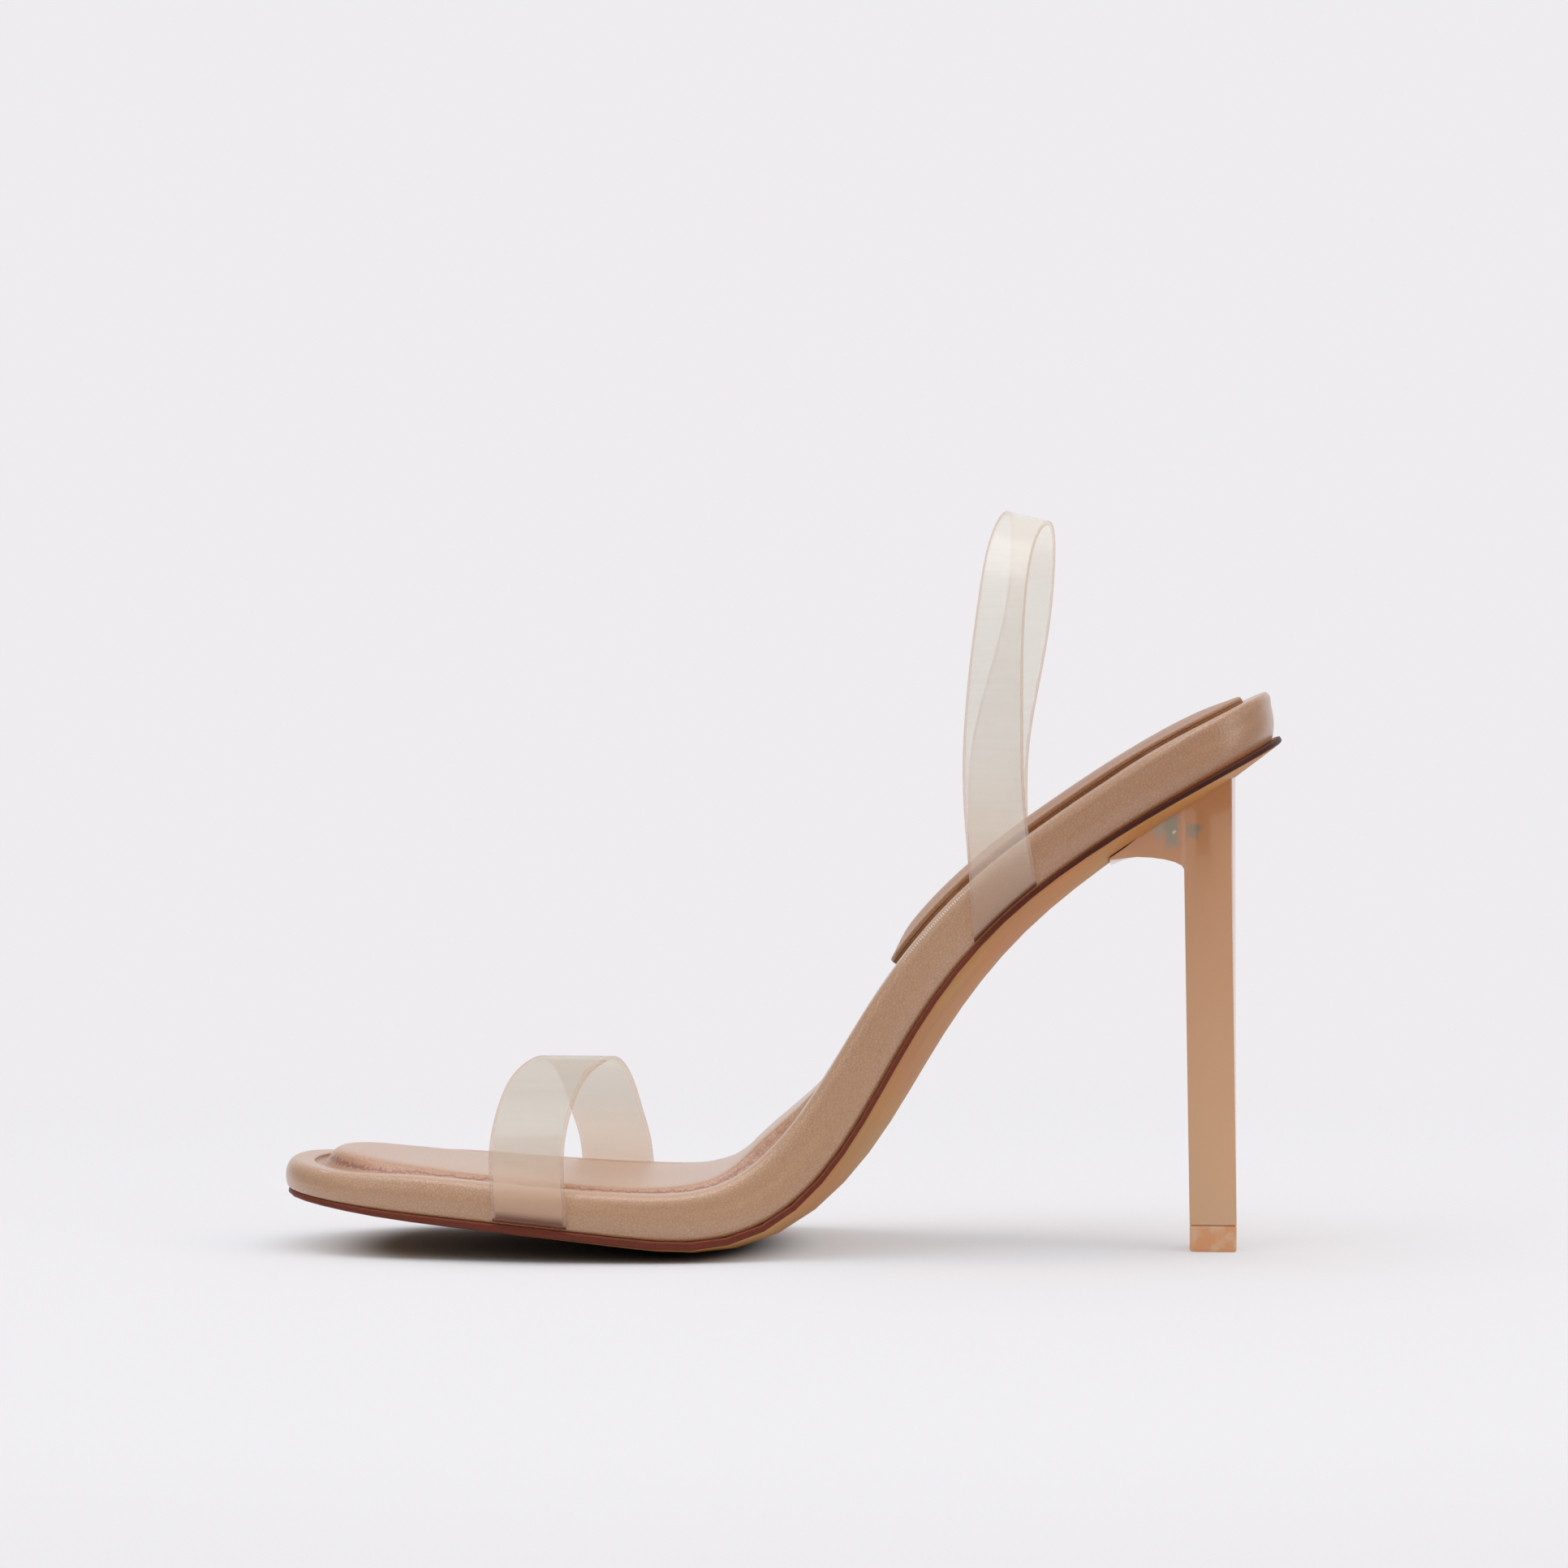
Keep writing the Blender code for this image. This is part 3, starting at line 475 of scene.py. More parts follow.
crease_painted_shade = add_node(tree, "ShaderNodeMath", {"operation": "MULTIPLY"},
                  {0: crease_painted_shade.outputs[0], 1: bend_fade.outputs[0]})
# Painted shade along the crease
leather = add_node(tree, "ShaderNodeMix",
                   {"data_type": "RGBA", "blend_type": "MULTIPLY", 7: linear("#CC9160")},
                   {6: shaded.outputs[2], 0: crease_painted_shade.outputs[0]})

# Painted highlights on the rim's shoulder: tiny glints in a row beside the pad, and glints on
# scratches at the toe. Middle and half size are along the run, the inset and the height
RimGlints = namedtuple("RimGlints", "middle reach")
RIM_GLINTS = (
    RimGlints((0.1770, 0.0017, 0.0000), (0.0130, 0.0003, 0.1000)),
    RimGlints((0.0112, 0.0002, 0.0052), (0.0022, 0.0010, 0.0003)),
)
beat = add_node(tree, "ShaderNodeMath", {"operation": "MULTIPLY", 1: 2 * math.pi / (0.55 * MM)},
                {0: parts.outputs["X"]})
beat = add_node(tree, "ShaderNodeMath", {"operation": "SINE"}, {0: beat.outputs[0]})
rim_glint_beat = add_node(tree, "ShaderNodeMapRange", {"From Min": -0.3, "From Max": 0.5, "To Max": 0.75},
                 {"Value": beat.outputs[0]})
for group in RIM_GLINTS:
    rim_glint_map = add_node(tree, "ShaderNodeMapping",
                        {"vector_type": "TEXTURE", "Location": group.middle,
                         "Scale": group.reach}, {"Vector": way.outputs["Vector"]})
    rim_glint_far = add_node(tree, "ShaderNodeVectorMath", {"operation": "LENGTH"},
                        {0: rim_glint_map.outputs[0]})
    rim_glint = add_node(tree, "ShaderNodeMapRange",
                    {"interpolation_type": "SMOOTHSTEP", "From Min": 1.1, "From Max": 0.6},
                    {"Value": rim_glint_far.outputs["Value"]})
    rim_glint = add_node(tree, "ShaderNodeMath", {"operation": "MULTIPLY"},
                    {0: rim_glint.outputs[0], 1: rim_glint_beat.outputs[0]})
    # Painted highlight: pale glints mixed into the colour
    leather = add_node(tree, "ShaderNodeMix", {"data_type": "RGBA", 7: linear("#F3E9DC")},
                       {0: rim_glint.outputs[0], 6: leather.outputs[2]})
tree.links.new(leather.outputs[2], shader.inputs["Base Color"])

# Relief: grain and pores, crinkles in the groove, and short tension lines over the heel
pleats_in = add_node(tree, "ShaderNodeMath", {"operation": "MULTIPLY"},
                     {0: crinkles.outputs["Fac"], 1: in_groove.outputs[0]})
stretch_map = add_node(tree, "ShaderNodeMapping",
                       {"Location": (-0.235, 0, -0.003), "Scale": (1, 0, 1)},
                       {"Vector": way.outputs["Vector"]})
stretch_reach = add_node(tree, "ShaderNodeVectorMath", {"operation": "LENGTH"},
                         {0: stretch_map.outputs[0]})
stretched = add_node(tree, "ShaderNodeMapRange",
                     {"interpolation_type": "SMOOTHSTEP", "From Min": 8 * MM,
                      "From Max": 1 * MM, "To Max": 0.8},
                     {"Value": stretch_reach.outputs["Value"]})
tension_map = add_node(tree, "ShaderNodeMapping",
                       {"Scale": (1 / (0.8 * MM), 0, 1 / (7 * MM))},
                       {"Vector": way.outputs["Vector"]})
tension = add_node(tree, "ShaderNodeTexNoise", {"Scale": 1.0, "Detail": 2.0},
                   {"Vector": tension_map.outputs[0]})
wrinkled = add_node(tree, "ShaderNodeMath", {"operation": "MULTIPLY_ADD"},
                    {0: tension.outputs["Fac"], 1: stretched.outputs[0],
                     2: pleats_in.outputs[0]})
fine = add_node(tree, "ShaderNodeMath", {"operation": "MULTIPLY_ADD", 1: 0.35},
                {0: pores.outputs["Fac"], 2: grain.outputs[0]})
grain_bump = add_node(tree, "ShaderNodeBump", {"Strength": 0.7, "Distance": 0.10 * MM},
                      {"Height": fine.outputs[0]})
pleat_bump = add_node(tree, "ShaderNodeBump", {"Strength": 1.0, "Distance": 0.40 * MM},
                      {"Height": wrinkled.outputs[0], "Normal": grain_bump.outputs[0]})
tree.links.new(pleat_bump.outputs[0], shader.inputs["Normal"])
sheen = add_node(tree, "ShaderNodeMapRange", {"To Min": 0.34, "To Max": 0.46},
                 {"Value": pores.outputs["Fac"]})
tree.links.new(sheen.outputs[0], shader.inputs["Roughness"])
shader.inputs["IOR"].default_value = 1.5
shader.inputs["Coat Weight"].default_value = 1.0
shader.inputs["Coat IOR"].default_value = 1.72
shader.inputs["Coat Roughness"].default_value = 0.38
shader.inputs["Sheen Weight"].default_value = 0.12
shader.inputs["Sheen Roughness"].default_value = 0.5
footbed.data.materials.append(wrap)
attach(footbed, "root")
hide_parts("footbed")


# Heel pad
# A die-cut sock of the same leather over soft foam, cemented on the seat and the arch. Its
# edge is left raw, so the brown foam and backing show as a fibrous line.

# Squareness is 1 where a face looks straight away from the sole, and 0 on a wall
SHOULDER_SQUARE = 0.45
WALL_SQUARE = -0.15
PAD_REST = 0.05 * MM
RAY_START = 2 * MM
RAY_REACH = 12 * MM
OFF_THE_WRAP = 0.0023
CUT_TOP = 0.00125
CUT_FULL = 0.00095
CUT_SQUARE_TOP = 0.82
CUT_SQUARE_FULL = 0.62

pad = merged_copy("heel_pad", "heel_pad_sock")
subdivided(pad, levels=3)
spots = points_of(pad)
normals = normals_of(pad)
pad_way = way_of(spots)
pad_slope = slope_at(pad_way[:, 0])
skin = BVHTree.FromPolygons([corner.co for corner in footbed.data.vertices],
                            [tuple(face.vertices) for face in footbed.data.polygons])
up_rows = numpy.stack((-numpy.sin(pad_slope), 0 * pad_slope, numpy.cos(pad_slope)), axis=1)
cut_height = numpy.full(len(spots), OFF_THE_WRAP)
for i, spot in enumerate(spots):
    up = Vector(up_rows[i])
    landing = skin.ray_cast(Vector(spot) + up * RAY_START, -up, RAY_REACH)[0]
    if landing:
        cut_height[i] = (Vector(spot) - landing).dot(up)
square = (normals * up_rows).sum(1)
lowered = (cut_height + PAD_REST) * soft_step(SHOULDER_SQUARE, WALL_SQUARE, square)
spots = spots - lowered[:, None] * up_rows
cut_height = cut_height - lowered
pad.data.vertices.foreach_set("co", spots.ravel())
pad.data.update()
store_way(pad, pad_way)
raw_share = (soft_step(CUT_TOP, CUT_FULL, cut_height)
             * soft_step(CUT_SQUARE_TOP, CUT_SQUARE_FULL, square))
for name, values in (("cut", cut_height), ("raw", raw_share)):
    pad.data.attributes.new(name, "FLOAT", "POINT").data.foreach_set("value", values)
pad.data.shade_smooth()

# The sock's leather is the same but dull, as it wasn't ironed over the board. Its raw edge is
# brown bonded foam and fibre in two plies, rough, with a dark glue line between them
sock = wrap.copy()
sock.name = "dull_leather_and_cut_foam"
tree = sock.node_tree
shader = tree.nodes["Principled BSDF"]
leather_tone = shader.inputs["Base Color"].links[0].from_socket
leather_matt = shader.inputs["Roughness"].links[0].from_socket
leather_relief = shader.inputs["Normal"].links[0].from_socket
place = add_node(tree, "ShaderNodeTexCoord")
browner = add_node(tree, "ShaderNodeMix",
                   {"data_type": "RGBA", "blend_type": "MULTIPLY", 0: 1.0,
                    7: linear("#E8D8C2")}, {6: leather_tone})
fibre = add_node(tree, "ShaderNodeTexNoise", {"Scale": 1 / (0.5 * MM), "Detail": 4.0},
                 {"Vector": place.outputs["Object"]})
foam = add_node(tree, "ShaderNodeMix",
                {"data_type": "RGBA", 6: linear("#93603E"), 7: linear("#CC9668")},
                {0: fibre.outputs["Fac"]})
height = add_node(tree, "ShaderNodeAttribute", {"attribute_name": "cut"})
ply_gap = add_node(tree, "ShaderNodeMath", {"operation": "SUBTRACT", 1: 0.62 * MM},
                   {0: height.outputs["Fac"]})
ply_far = add_node(tree, "ShaderNodeMath", {"operation": "ABSOLUTE"}, {0: ply_gap.outputs[0]})
ply_line = add_node(tree, "ShaderNodeMapRange",
                    {"interpolation_type": "SMOOTHSTEP", "From Min": 0.22 * MM,
                     "From Max": 0.06 * MM, "To Max": 0.7}, {"Value": ply_far.outputs[0]})
plies = add_node(tree, "ShaderNodeMix", {"data_type": "RGBA", 7: linear("#54321F")},
                 {0: ply_line.outputs[0], 6: foam.outputs[2]})
raw = add_node(tree, "ShaderNodeAttribute", {"attribute_name": "raw"})
tone = add_node(tree, "ShaderNodeMix", {"data_type": "RGBA"},
                {0: raw.outputs["Fac"], 6: browner.outputs[2], 7: plies.outputs[2]})
tree.links.new(tone.outputs[2], shader.inputs["Base Color"])
matt = add_node(tree, "ShaderNodeMix", {"data_type": "FLOAT", 3: 0.85},
                {0: raw.outputs["Fac"], 2: leather_matt})
tree.links.new(matt.outputs[0], shader.inputs["Roughness"])
gloss = add_node(tree, "ShaderNodeMapRange", {"To Min": 0.3, "To Max": 0.0},
                 {"Value": raw.outputs["Fac"]})
tree.links.new(gloss.outputs[0], shader.inputs["Coat Weight"])
fuzz = add_node(tree, "ShaderNodeBump", {"Distance": 0.2 * MM},
                {"Strength": raw.outputs["Fac"], "Height": fibre.outputs["Fac"],
                 "Normal": leather_relief})
tree.links.new(fuzz.outputs[0], shader.inputs["Normal"])
shader.inputs["Sheen Weight"].default_value = 0.05
pad.data.materials.append(sock)
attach(pad, "root")
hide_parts("heel_pad")


# Front strap
# A band die-cut from clear flexible vinyl sheet, slightly milky. Both ends go down beside the
# rim and are cemented between the wrap and the outsole.

VINYL_THICKNESS = 0.0009
# A face of the cut edge has a side no longer than this
CUT_SIDE = 1.15 * VINYL_THICKNESS
SEAM_SHADE_FULL_HEIGHT = 0.3 * MM
EDGE_SEAM_SHADE_REACH = 0.0014
CLOUDING = 0.10

# A sheet's finish: colours of its milk, the foot's pinker one being painted bounce light from the
# leather, and the heights where they hold, the tint and share of what shows through, the share of
# gloss, and how high the foot is darkened with painted shade at the seam
Vinyl = namedtuple("Vinyl", "name foot top foot_height top_height tint through gloss tuck")
FRONT_VINYL = Vinyl("milky_pvc_sheet", "#EFD7C3", "#DEDCD7", 0.012, 0.034, "#F6F4EF",
                    0.60, 0.014, 0.0030)


def clear_of_seam_shade(tree, tuck):
    """0 where the sheet meets the seam and is painted in shade, and 1 above it."""
    way = add_node(tree, "ShaderNodeAttribute", {"attribute_name": "way"})
    parts = add_node(tree, "ShaderNodeSeparateXYZ", links={0: way.outputs["Vector"]})
    free = add_node(tree, "ShaderNodeMapRange",
                    {"interpolation_type": "SMOOTHSTEP", "From Min": SEAM_SHADE_FULL_HEIGHT,
                     "From Max": tuck}, {"Value": parts.outputs["Z"]})
    return free.outputs[0]


def milky_pvc(kind):
    """Plasticised PVC sheet: clear but milky, so what lies behind shows paler and softer.
    The milk glows with the light that comes through, and is painted pinker near the
    leather, as bounce light from it."""
    sheet, tree, shader = new_material(kind.name)
    place = add_node(tree, "ShaderNodeTexCoord")
    spot = add_node(tree, "ShaderNodeSeparateXYZ", links={0: place.outputs["Object"]})
    up = add_node(tree, "ShaderNodeMapRange",
                  {"interpolation_type": "SMOOTHSTEP", "From Min": kind.foot_height,
                   "From Max": kind.top_height}, {"Value": spot.outputs["Z"]})
    # Painted bounce light: the milk is pinker at the foot, near the leather
    milk = add_node(tree, "ShaderNodeMix",
                    {"data_type": "RGBA", 6: linear(kind.foot), 7: linear(kind.top)},
                    {0: up.outputs[0]})
    band_map = add_node(tree, "ShaderNodeMapping",
                        {"Scale": (0.014 / MM, 0.014 / MM, 0.15 / MM)},
                        {"Vector": place.outputs["Object"]})
    bands = add_node(tree, "ShaderNodeTexNoise", {"Scale": 1.0, "Detail": 3.0},
                     {"Vector": band_map.outputs[0]})
    cloudy = add_node(tree, "ShaderNodeMapRange",
                      {"interpolation_type": "SMOOTHSTEP", "From Min": 0.42, "From Max": 0.66,
                       "To Min": kind.through, "To Max": kind.through - CLOUDING},
                      {"Value": bands.outputs["Fac"]})
    drawn = add_node(tree, "ShaderNodeBump", {"Strength": 0.15, "Distance": 0.4 * MM},
                     {"Height": bands.outputs["Fac"]})
    free = clear_of_seam_shade(tree, kind.tuck)
    # Painted shade: the milk turns dark brown where the sheet meets the seam
    milk = add_node(tree, "ShaderNodeMix", {"data_type": "RGBA", 6: linear("#965026")},
                    {0: free, 7: milk.outputs[2]})
    tree.links.new(milk.outputs[2], shader.inputs["Base Color"])
    tree.links.new(drawn.outputs[0], shader.inputs["Normal"])
    shader.inputs["Roughness"].default_value = 0.16
    shader.inputs["IOR"].default_value = 1.45
    glow = add_node(tree, "ShaderNodeBsdfTranslucent", links={0: milk.outputs[2]})
    body = add_node(tree, "ShaderNodeMixShader", {0: 0.5},
                    {1: shader.outputs[0], 2: glow.outputs[0]})
    # Painted shade: what shows through is tinted brown at the seam
    tint = add_node(tree, "ShaderNodeMix",
                    {"data_type": "RGBA", 6: linear("#B0683C"), 7: linear(kind.tint)}, {0: free})
    clear = add_node(tree, "ShaderNodeBsdfTransparent", links={0: tint.outputs[2]})
    mixed = add_node(tree, "ShaderNodeMixShader", {},
                     {0: cloudy.outputs[0], 1: body.outputs[0], 2: clear.outputs[0]})
    skin = add_node(tree, "ShaderNodeBsdfAnisotropic",
                    {"Color": (kind.gloss, kind.gloss, kind.gloss, 1.0), "Roughness": 0.24},
                    {"Normal": drawn.outputs[0]})
    gloss = add_node(tree, "ShaderNodeAddShader", links={0: mixed.outputs[0], 1: skin.outputs[0]})
    tree.links.new(gloss.outputs[0], tree.nodes["Material Output"].inputs["Surface"])
    return sheet


# The cut edge of the same sheet is frosted, lets most of the light through, and has a painted
# glow
vinyl_edge, tree, shader = new_material("cut_pvc_edge")
place = add_node(tree, "ShaderNodeTexCoord")
nicks = add_node(tree, "ShaderNodeTexNoise", {"Scale": 0.8 / MM, "Detail": 2.0},
                 {"Vector": place.outputs["Object"]})
free = clear_of_seam_shade(tree, EDGE_SEAM_SHADE_REACH)
frost = add_node(tree, "ShaderNodeMix",
                 {"data_type": "RGBA", 6: linear("#F1EDE6"), 7: linear("#E6DED2")},
                 {0: nicks.outputs["Fac"]})
# Painted shade: the edge turns brown where it meets the seam
frost = add_node(tree, "ShaderNodeMix", {"data_type": "RGBA", 6: linear("#96603F")},
                 {0: free, 7: frost.outputs[2]})
tree.links.new(frost.outputs[2], shader.inputs["Base Color"])
shader.inputs["Roughness"].default_value = 0.4
# Painted light: the edge glows faintly in its frost colour, as if it gathered light
tree.links.new(frost.outputs[2], shader.inputs["Emission Color"])
shader.inputs["Emission Strength"].default_value = 0.06
glow = add_node(tree, "ShaderNodeBsdfTranslucent", links={0: frost.outputs[2]})
body = add_node(tree, "ShaderNodeMixShader", {0: 0.5}, {1: shader.outputs[0], 2: glow.outputs[0]})
# Painted shade: what shows through the edge is tinted brown at the seam
edge_tint = add_node(tree, "ShaderNodeMix",
                     {"data_type": "RGBA", 6: linear("#B0683C"), 7: linear("#F4EBE4")}, {0: free})
clear = add_node(tree, "ShaderNodeBsdfTransparent", links={0: edge_tint.outputs[2]})
mixed = add_node(tree, "ShaderNodeMixShader", {0: 0.75},
                 {1: body.outputs[0], 2: clear.outputs[0]})
tree.links.new(mixed.outputs[0], tree.nodes["Material Output"].inputs["Surface"])


def vinyl_band(node, name, sheet):
    """A strap's finished piece: smooth faces, slightly rounded cut edges in a second slot."""
    band = merged_copy(node, name)
    for face in band.data.polygons:
        corners = [band.data.vertices[i].co for i in face.vertices]
        sides = [(a - b).length for a, b in zip(corners, corners[1:] + corners[:1])]
        face.material_index = 1 if min(sides) < CUT_SIDE else 0
    band.data.materials.append(sheet)
    band.data.materials.append(vinyl_edge)
    rounded = band.modifiers.new("die_cut_edge", "BEVEL")
    rounded.width = 0.14 * MM
    rounded.segments = 2
    rounded.limit_method = "ANGLE"
    rounded.angle_limit = math.radians(50)
    rounded.material = 1
    applied(band)
    subdivided(band, levels=1)
    store_way(band, way_of(points_of(band)))
    band.data.shade_smooth()
    band.visible_shadow = False
    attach(band, "root")
    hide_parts(node)
    return band


front_strap = vinyl_band("front_strap", "front_strap_band", milky_pvc(FRONT_VINYL))


# Slingback strap
# The same sheet, cut narrower towards the top, and bent in one loop behind the ankle. Its two
# ends are cemented into the seam on both sides of the arch.

SLINGBACK_VINYL = Vinyl("clearer_pvc_sheet", "#D9C2AC", "#F0EDE9", 0.066, 0.112, "#F8F7F3",
                        0.67, 0.032, 0.0013)

slingback = vinyl_band("slingback_strap", "slingback_band", milky_pvc(SLINGBACK_VINYL))


# Heel
# A slab cast in clear acrylic over a tan core, polished, with a flange that reaches forward
# under the waist. It is screwed and cemented to the sole from inside.

HEEL_TOP = 0.094
FLANGE_HEIGHT = 0.0885
TIP_JOINT = 0.007
HEAD_GAP = 0.00045
TIP_GAP = 0.00026
# How far small flaws in the cast push a glint's outline about
FLAW = 0.0016

# Painted glints in the clear cast: middle and half size across and up, turn in degrees, colour
Glint = namedtuple("Glint", "x z wide high turn code")
GLINTS = (
    Glint(-0.0105, 0.0912, 0.0028, 0.0017, -33, "#B59C82"),
    Glint(-0.0114, 0.0929, 0.0046, 0.0009, -33, "#A1947C"),
    Glint(-0.0090, 0.0908, 0.0015, 0.0040, 0, "#9F937D"),
    Glint(-0.0044, 0.0904, 0.0017, 0.0015, 14, "#AB9075"),
    Glint(-0.0037, 0.0909, 0.0008, 0.0008, 14, "#A08C74"),
    Glint(-0.0085, 0.0902, 0.0004, 0.0004, 45, "#D6D2C4"),
    Glint(-0.0064, 0.0700, 0.0004, 0.0300, 0, "#CE9D79"),
)

heel = merged_copy("heel", "heel_slab", join=False)
for corner in heel.data.vertices:
    if corner.co.z > FLANGE_HEIGHT:
        corner.co.z += HEAD_GAP
    elif corner.co.z < TIP_JOINT:
        corner.co.z -= TIP_GAP
polished = heel.modifiers.new("polished_edge", "BEVEL")
polished.width = 0.8 * MM
polished.segments = 3
polished.limit_method = "ANGLE"
polished.angle_limit = math.radians(40)
polished.material = 1

# Cast acrylic over a tan core: deep clear gloss. Near the flange, grey-green glints of the studio
# are painted into the colour, on both sides of the slab's front edge
acrylic, tree, shader = new_material("cast_acrylic_over_tan_core")
place = add_node(tree, "ShaderNodeTexCoord")
parts = add_node(tree, "ShaderNodeSeparateXYZ", links={0: place.outputs["Object"]})
height = add_node(tree, "ShaderNodeMapRange", {"From Min": 0.006, "From Max": HEEL_TOP},
                  {"Value": parts.outputs["Z"]})
core_tone = add_node(tree, "ShaderNodeMix",
                     {"data_type": "RGBA", 6: linear("#DCAE84"), 7: linear("#CB9062")},
                     {0: height.outputs[0]})
wobble = add_node(tree, "ShaderNodeTexNoise", {"Scale": 0.5 / MM, "Detail": 2.0},
                  {"Vector": place.outputs["Object"]})
flaws = add_node(tree, "ShaderNodeVectorMath", {"operation": "MULTIPLY_ADD", 1: (FLAW, 0, FLAW)},
                 {0: wobble.outputs["Color"], 2: place.outputs["Object"]})
glint = core_tone.outputs[2]
for patch in GLINTS:
    at = add_node(tree, "ShaderNodeMapping",
                  {"vector_type": "TEXTURE",
                   "Location": (patch.x + FLAW / 2, 0, patch.z + FLAW / 2),
                   "Rotation": (0, math.radians(patch.turn), 0),
                   "Scale": (patch.wide, 1, patch.high)}, {"Vector": flaws.outputs[0]})
    sides = add_node(tree, "ShaderNodeVectorMath", {"operation": "ABSOLUTE"}, {0: at.outputs[0]})
    side = add_node(tree, "ShaderNodeSeparateXYZ", links={0: sides.outputs[0]})
    out = add_node(tree, "ShaderNodeMath", {"operation": "MAXIMUM"},
                   {0: side.outputs["X"], 1: side.outputs["Z"]})
    near = add_node(tree, "ShaderNodeMapRange",
                    {"interpolation_type": "SMOOTHSTEP", "From Min": 1.35, "From Max": 0.45},
                    {"Value": out.outputs[0]})
    glint = add_node(tree, "ShaderNodeMix", {"data_type": "RGBA", 7: linear(patch.code)},
                     {0: near.outputs[0], 6: glint}).outputs[2]
tree.links.new(glint, shader.inputs["Base Color"])
shader.inputs["Roughness"].default_value = 0.18
shader.inputs["IOR"].default_value = 1.49
shader.inputs["Coat Weight"].default_value = 0.5
shader.inputs["Coat Roughness"].default_value = 0.05

# The polished edges are painted pale grey-green above, as the studio's light seen through the
# clear cast, and take the core's tan lower down
clear_edge, tree, shader = new_material("polished_acrylic_edge")
place = add_node(tree, "ShaderNodeTexCoord")
parts = add_node(tree, "ShaderNodeSeparateXYZ", links={0: place.outputs["Object"]})
high_up = add_node(tree, "ShaderNodeMapRange",
                   {"interpolation_type": "SMOOTHSTEP", "From Min": 0.040, "From Max": 0.066},
                   {"Value": parts.outputs["Z"]})
# Painted light: pale above, where the clear cast would show the studio through it
edge_tone = add_node(tree, "ShaderNodeMix",
                     {"data_type": "RGBA", 6: linear("#D6B094"), 7: linear("#BFC8BC")},
                     {0: high_up.outputs[0]})
tree.links.new(edge_tone.outputs[2], shader.inputs["Base Color"])
shader.inputs["Roughness"].default_value = 0.25
shader.inputs["IOR"].default_value = 1.49
shader.inputs["Specular IOR Level"].default_value = 0.3
shader.inputs["Transmission Weight"].default_value = 0.05
heel.data.materials.append(acrylic)
heel.data.materials.append(clear_edge)
applied(heel)
heel.data.shade_smooth()
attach(heel, "root")
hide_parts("heel")


# Heel tip
# A small top piece of moulded polyurethane, orange tan, that wears on the floor. It is pressed
# on with a pin. The CAD solid has the right shape, so it stays and only gets its finish.

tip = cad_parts["heel_tip"]

# Hard moulded polyurethane: satin, mottled where the mould ran cold
urethane, tree, shader = new_material("moulded_polyurethane")
place = add_node(tree, "ShaderNodeTexCoord")
mottle = add_node(tree, "ShaderNodeTexNoise", {"Scale": 0.26 / MM, "Detail": 3.0},
                  {"Vector": place.outputs["Object"]})
cold = add_node(tree, "ShaderNodeMapRange",
                {"interpolation_type": "SMOOTHSTEP", "From Min": 0.45, "From Max": 0.62},
                {"Value": mottle.outputs["Fac"]})
orange = add_node(tree, "ShaderNodeMix",
                  {"data_type": "RGBA", 6: linear("#E0A070"), 7: linear("#E2B590")},
                  {0: cold.outputs[0]})
tree.links.new(orange.outputs[2], shader.inputs["Base Color"])
shader.inputs["Roughness"].default_value = 0.32
tip.data.materials.clear()
tip.data.materials.append(urethane)


# Studio
# A pale seamless paper sweep, soft light from above and from both sides, and a long lens that
# looks slightly down at the shoe from its inner side.

PAPER = "#EEECEF"
SWEEP_WIDTH = 6.0
SWEEP_FRONT = -3.0
SWEEP_BACK = 2.4
SWEEP_ROUND = 1.2
SWEEP_TOP = 4.0
AIR_LOW = 0.0
AIR_HIGH = 1.0

builder = bmesh.new()
edge = [builder.verts.new((x, SWEEP_FRONT, 0)) for x in (-SWEEP_WIDTH / 2, SWEEP_WIDTH / 2)]
line = [builder.edges.new(edge)]
flat = bmesh.ops.extrude_edge_only(builder, edges=line)["geom"]
bmesh.ops.translate(builder, verts=[g for g in flat if isinstance(g, bmesh.types.BMVert)],
                    vec=(0, SWEEP_BACK - SWEEP_FRONT, 0))
line = [g for g in flat if isinstance(g, bmesh.types.BMEdge)]
spun = bmesh.ops.spin(builder, geom=line, cent=(0, SWEEP_BACK, SWEEP_ROUND), axis=(1, 0, 0),
                      angle=math.radians(90), steps=24)["geom_last"]
line = [g for g in spun if isinstance(g, bmesh.types.BMEdge)]
wall = bmesh.ops.extrude_edge_only(builder, edges=line)["geom"]
bmesh.ops.translate(builder, verts=[g for g in wall if isinstance(g, bmesh.types.BMVert)],
                    vec=(0, 0, SWEEP_TOP))
bmesh.ops.recalc_face_normals(builder, faces=builder.faces)
sweep_mesh = bpy.data.meshes.new("studio_sweep")
builder.to_mesh(sweep_mesh)
builder.free()
sweep_mesh.shade_smooth()
sweep = bpy.data.objects.new("studio_sweep", sweep_mesh)
bpy.context.scene.collection.objects.link(sweep)

# Matt seamless paper. Away from the shoe it is washed with an even light, so no corner shows.
# Round the tread a painted pool of light lifts the shadow a little, under the tread a painted
# shadow darkens it, and near both a painted cool shade tints it: soft ellipses on the floor, with
# their middle, half size, and where they start and are full
Ellipse = namedtuple("Ellipse", "x y long wide start full most")
ELLIPSES = {
    "glow_with_painted_light": Ellipse(-0.139, 0.000, 0.042, 0.054, 0.88, 1.34, 0.42),
    "painted_shadow_under_tread": Ellipse(-0.137, 0.001, 0.052, 0.038, 1.25, 0.72, 1.0),
    "in_shade": Ellipse(-0.105, 0.000, 0.115, 0.045, 1.15, 0.65, 1.0),
}
paper, tree, shader = new_material("matt_seamless_paper")
place = add_node(tree, "ShaderNodeTexCoord")
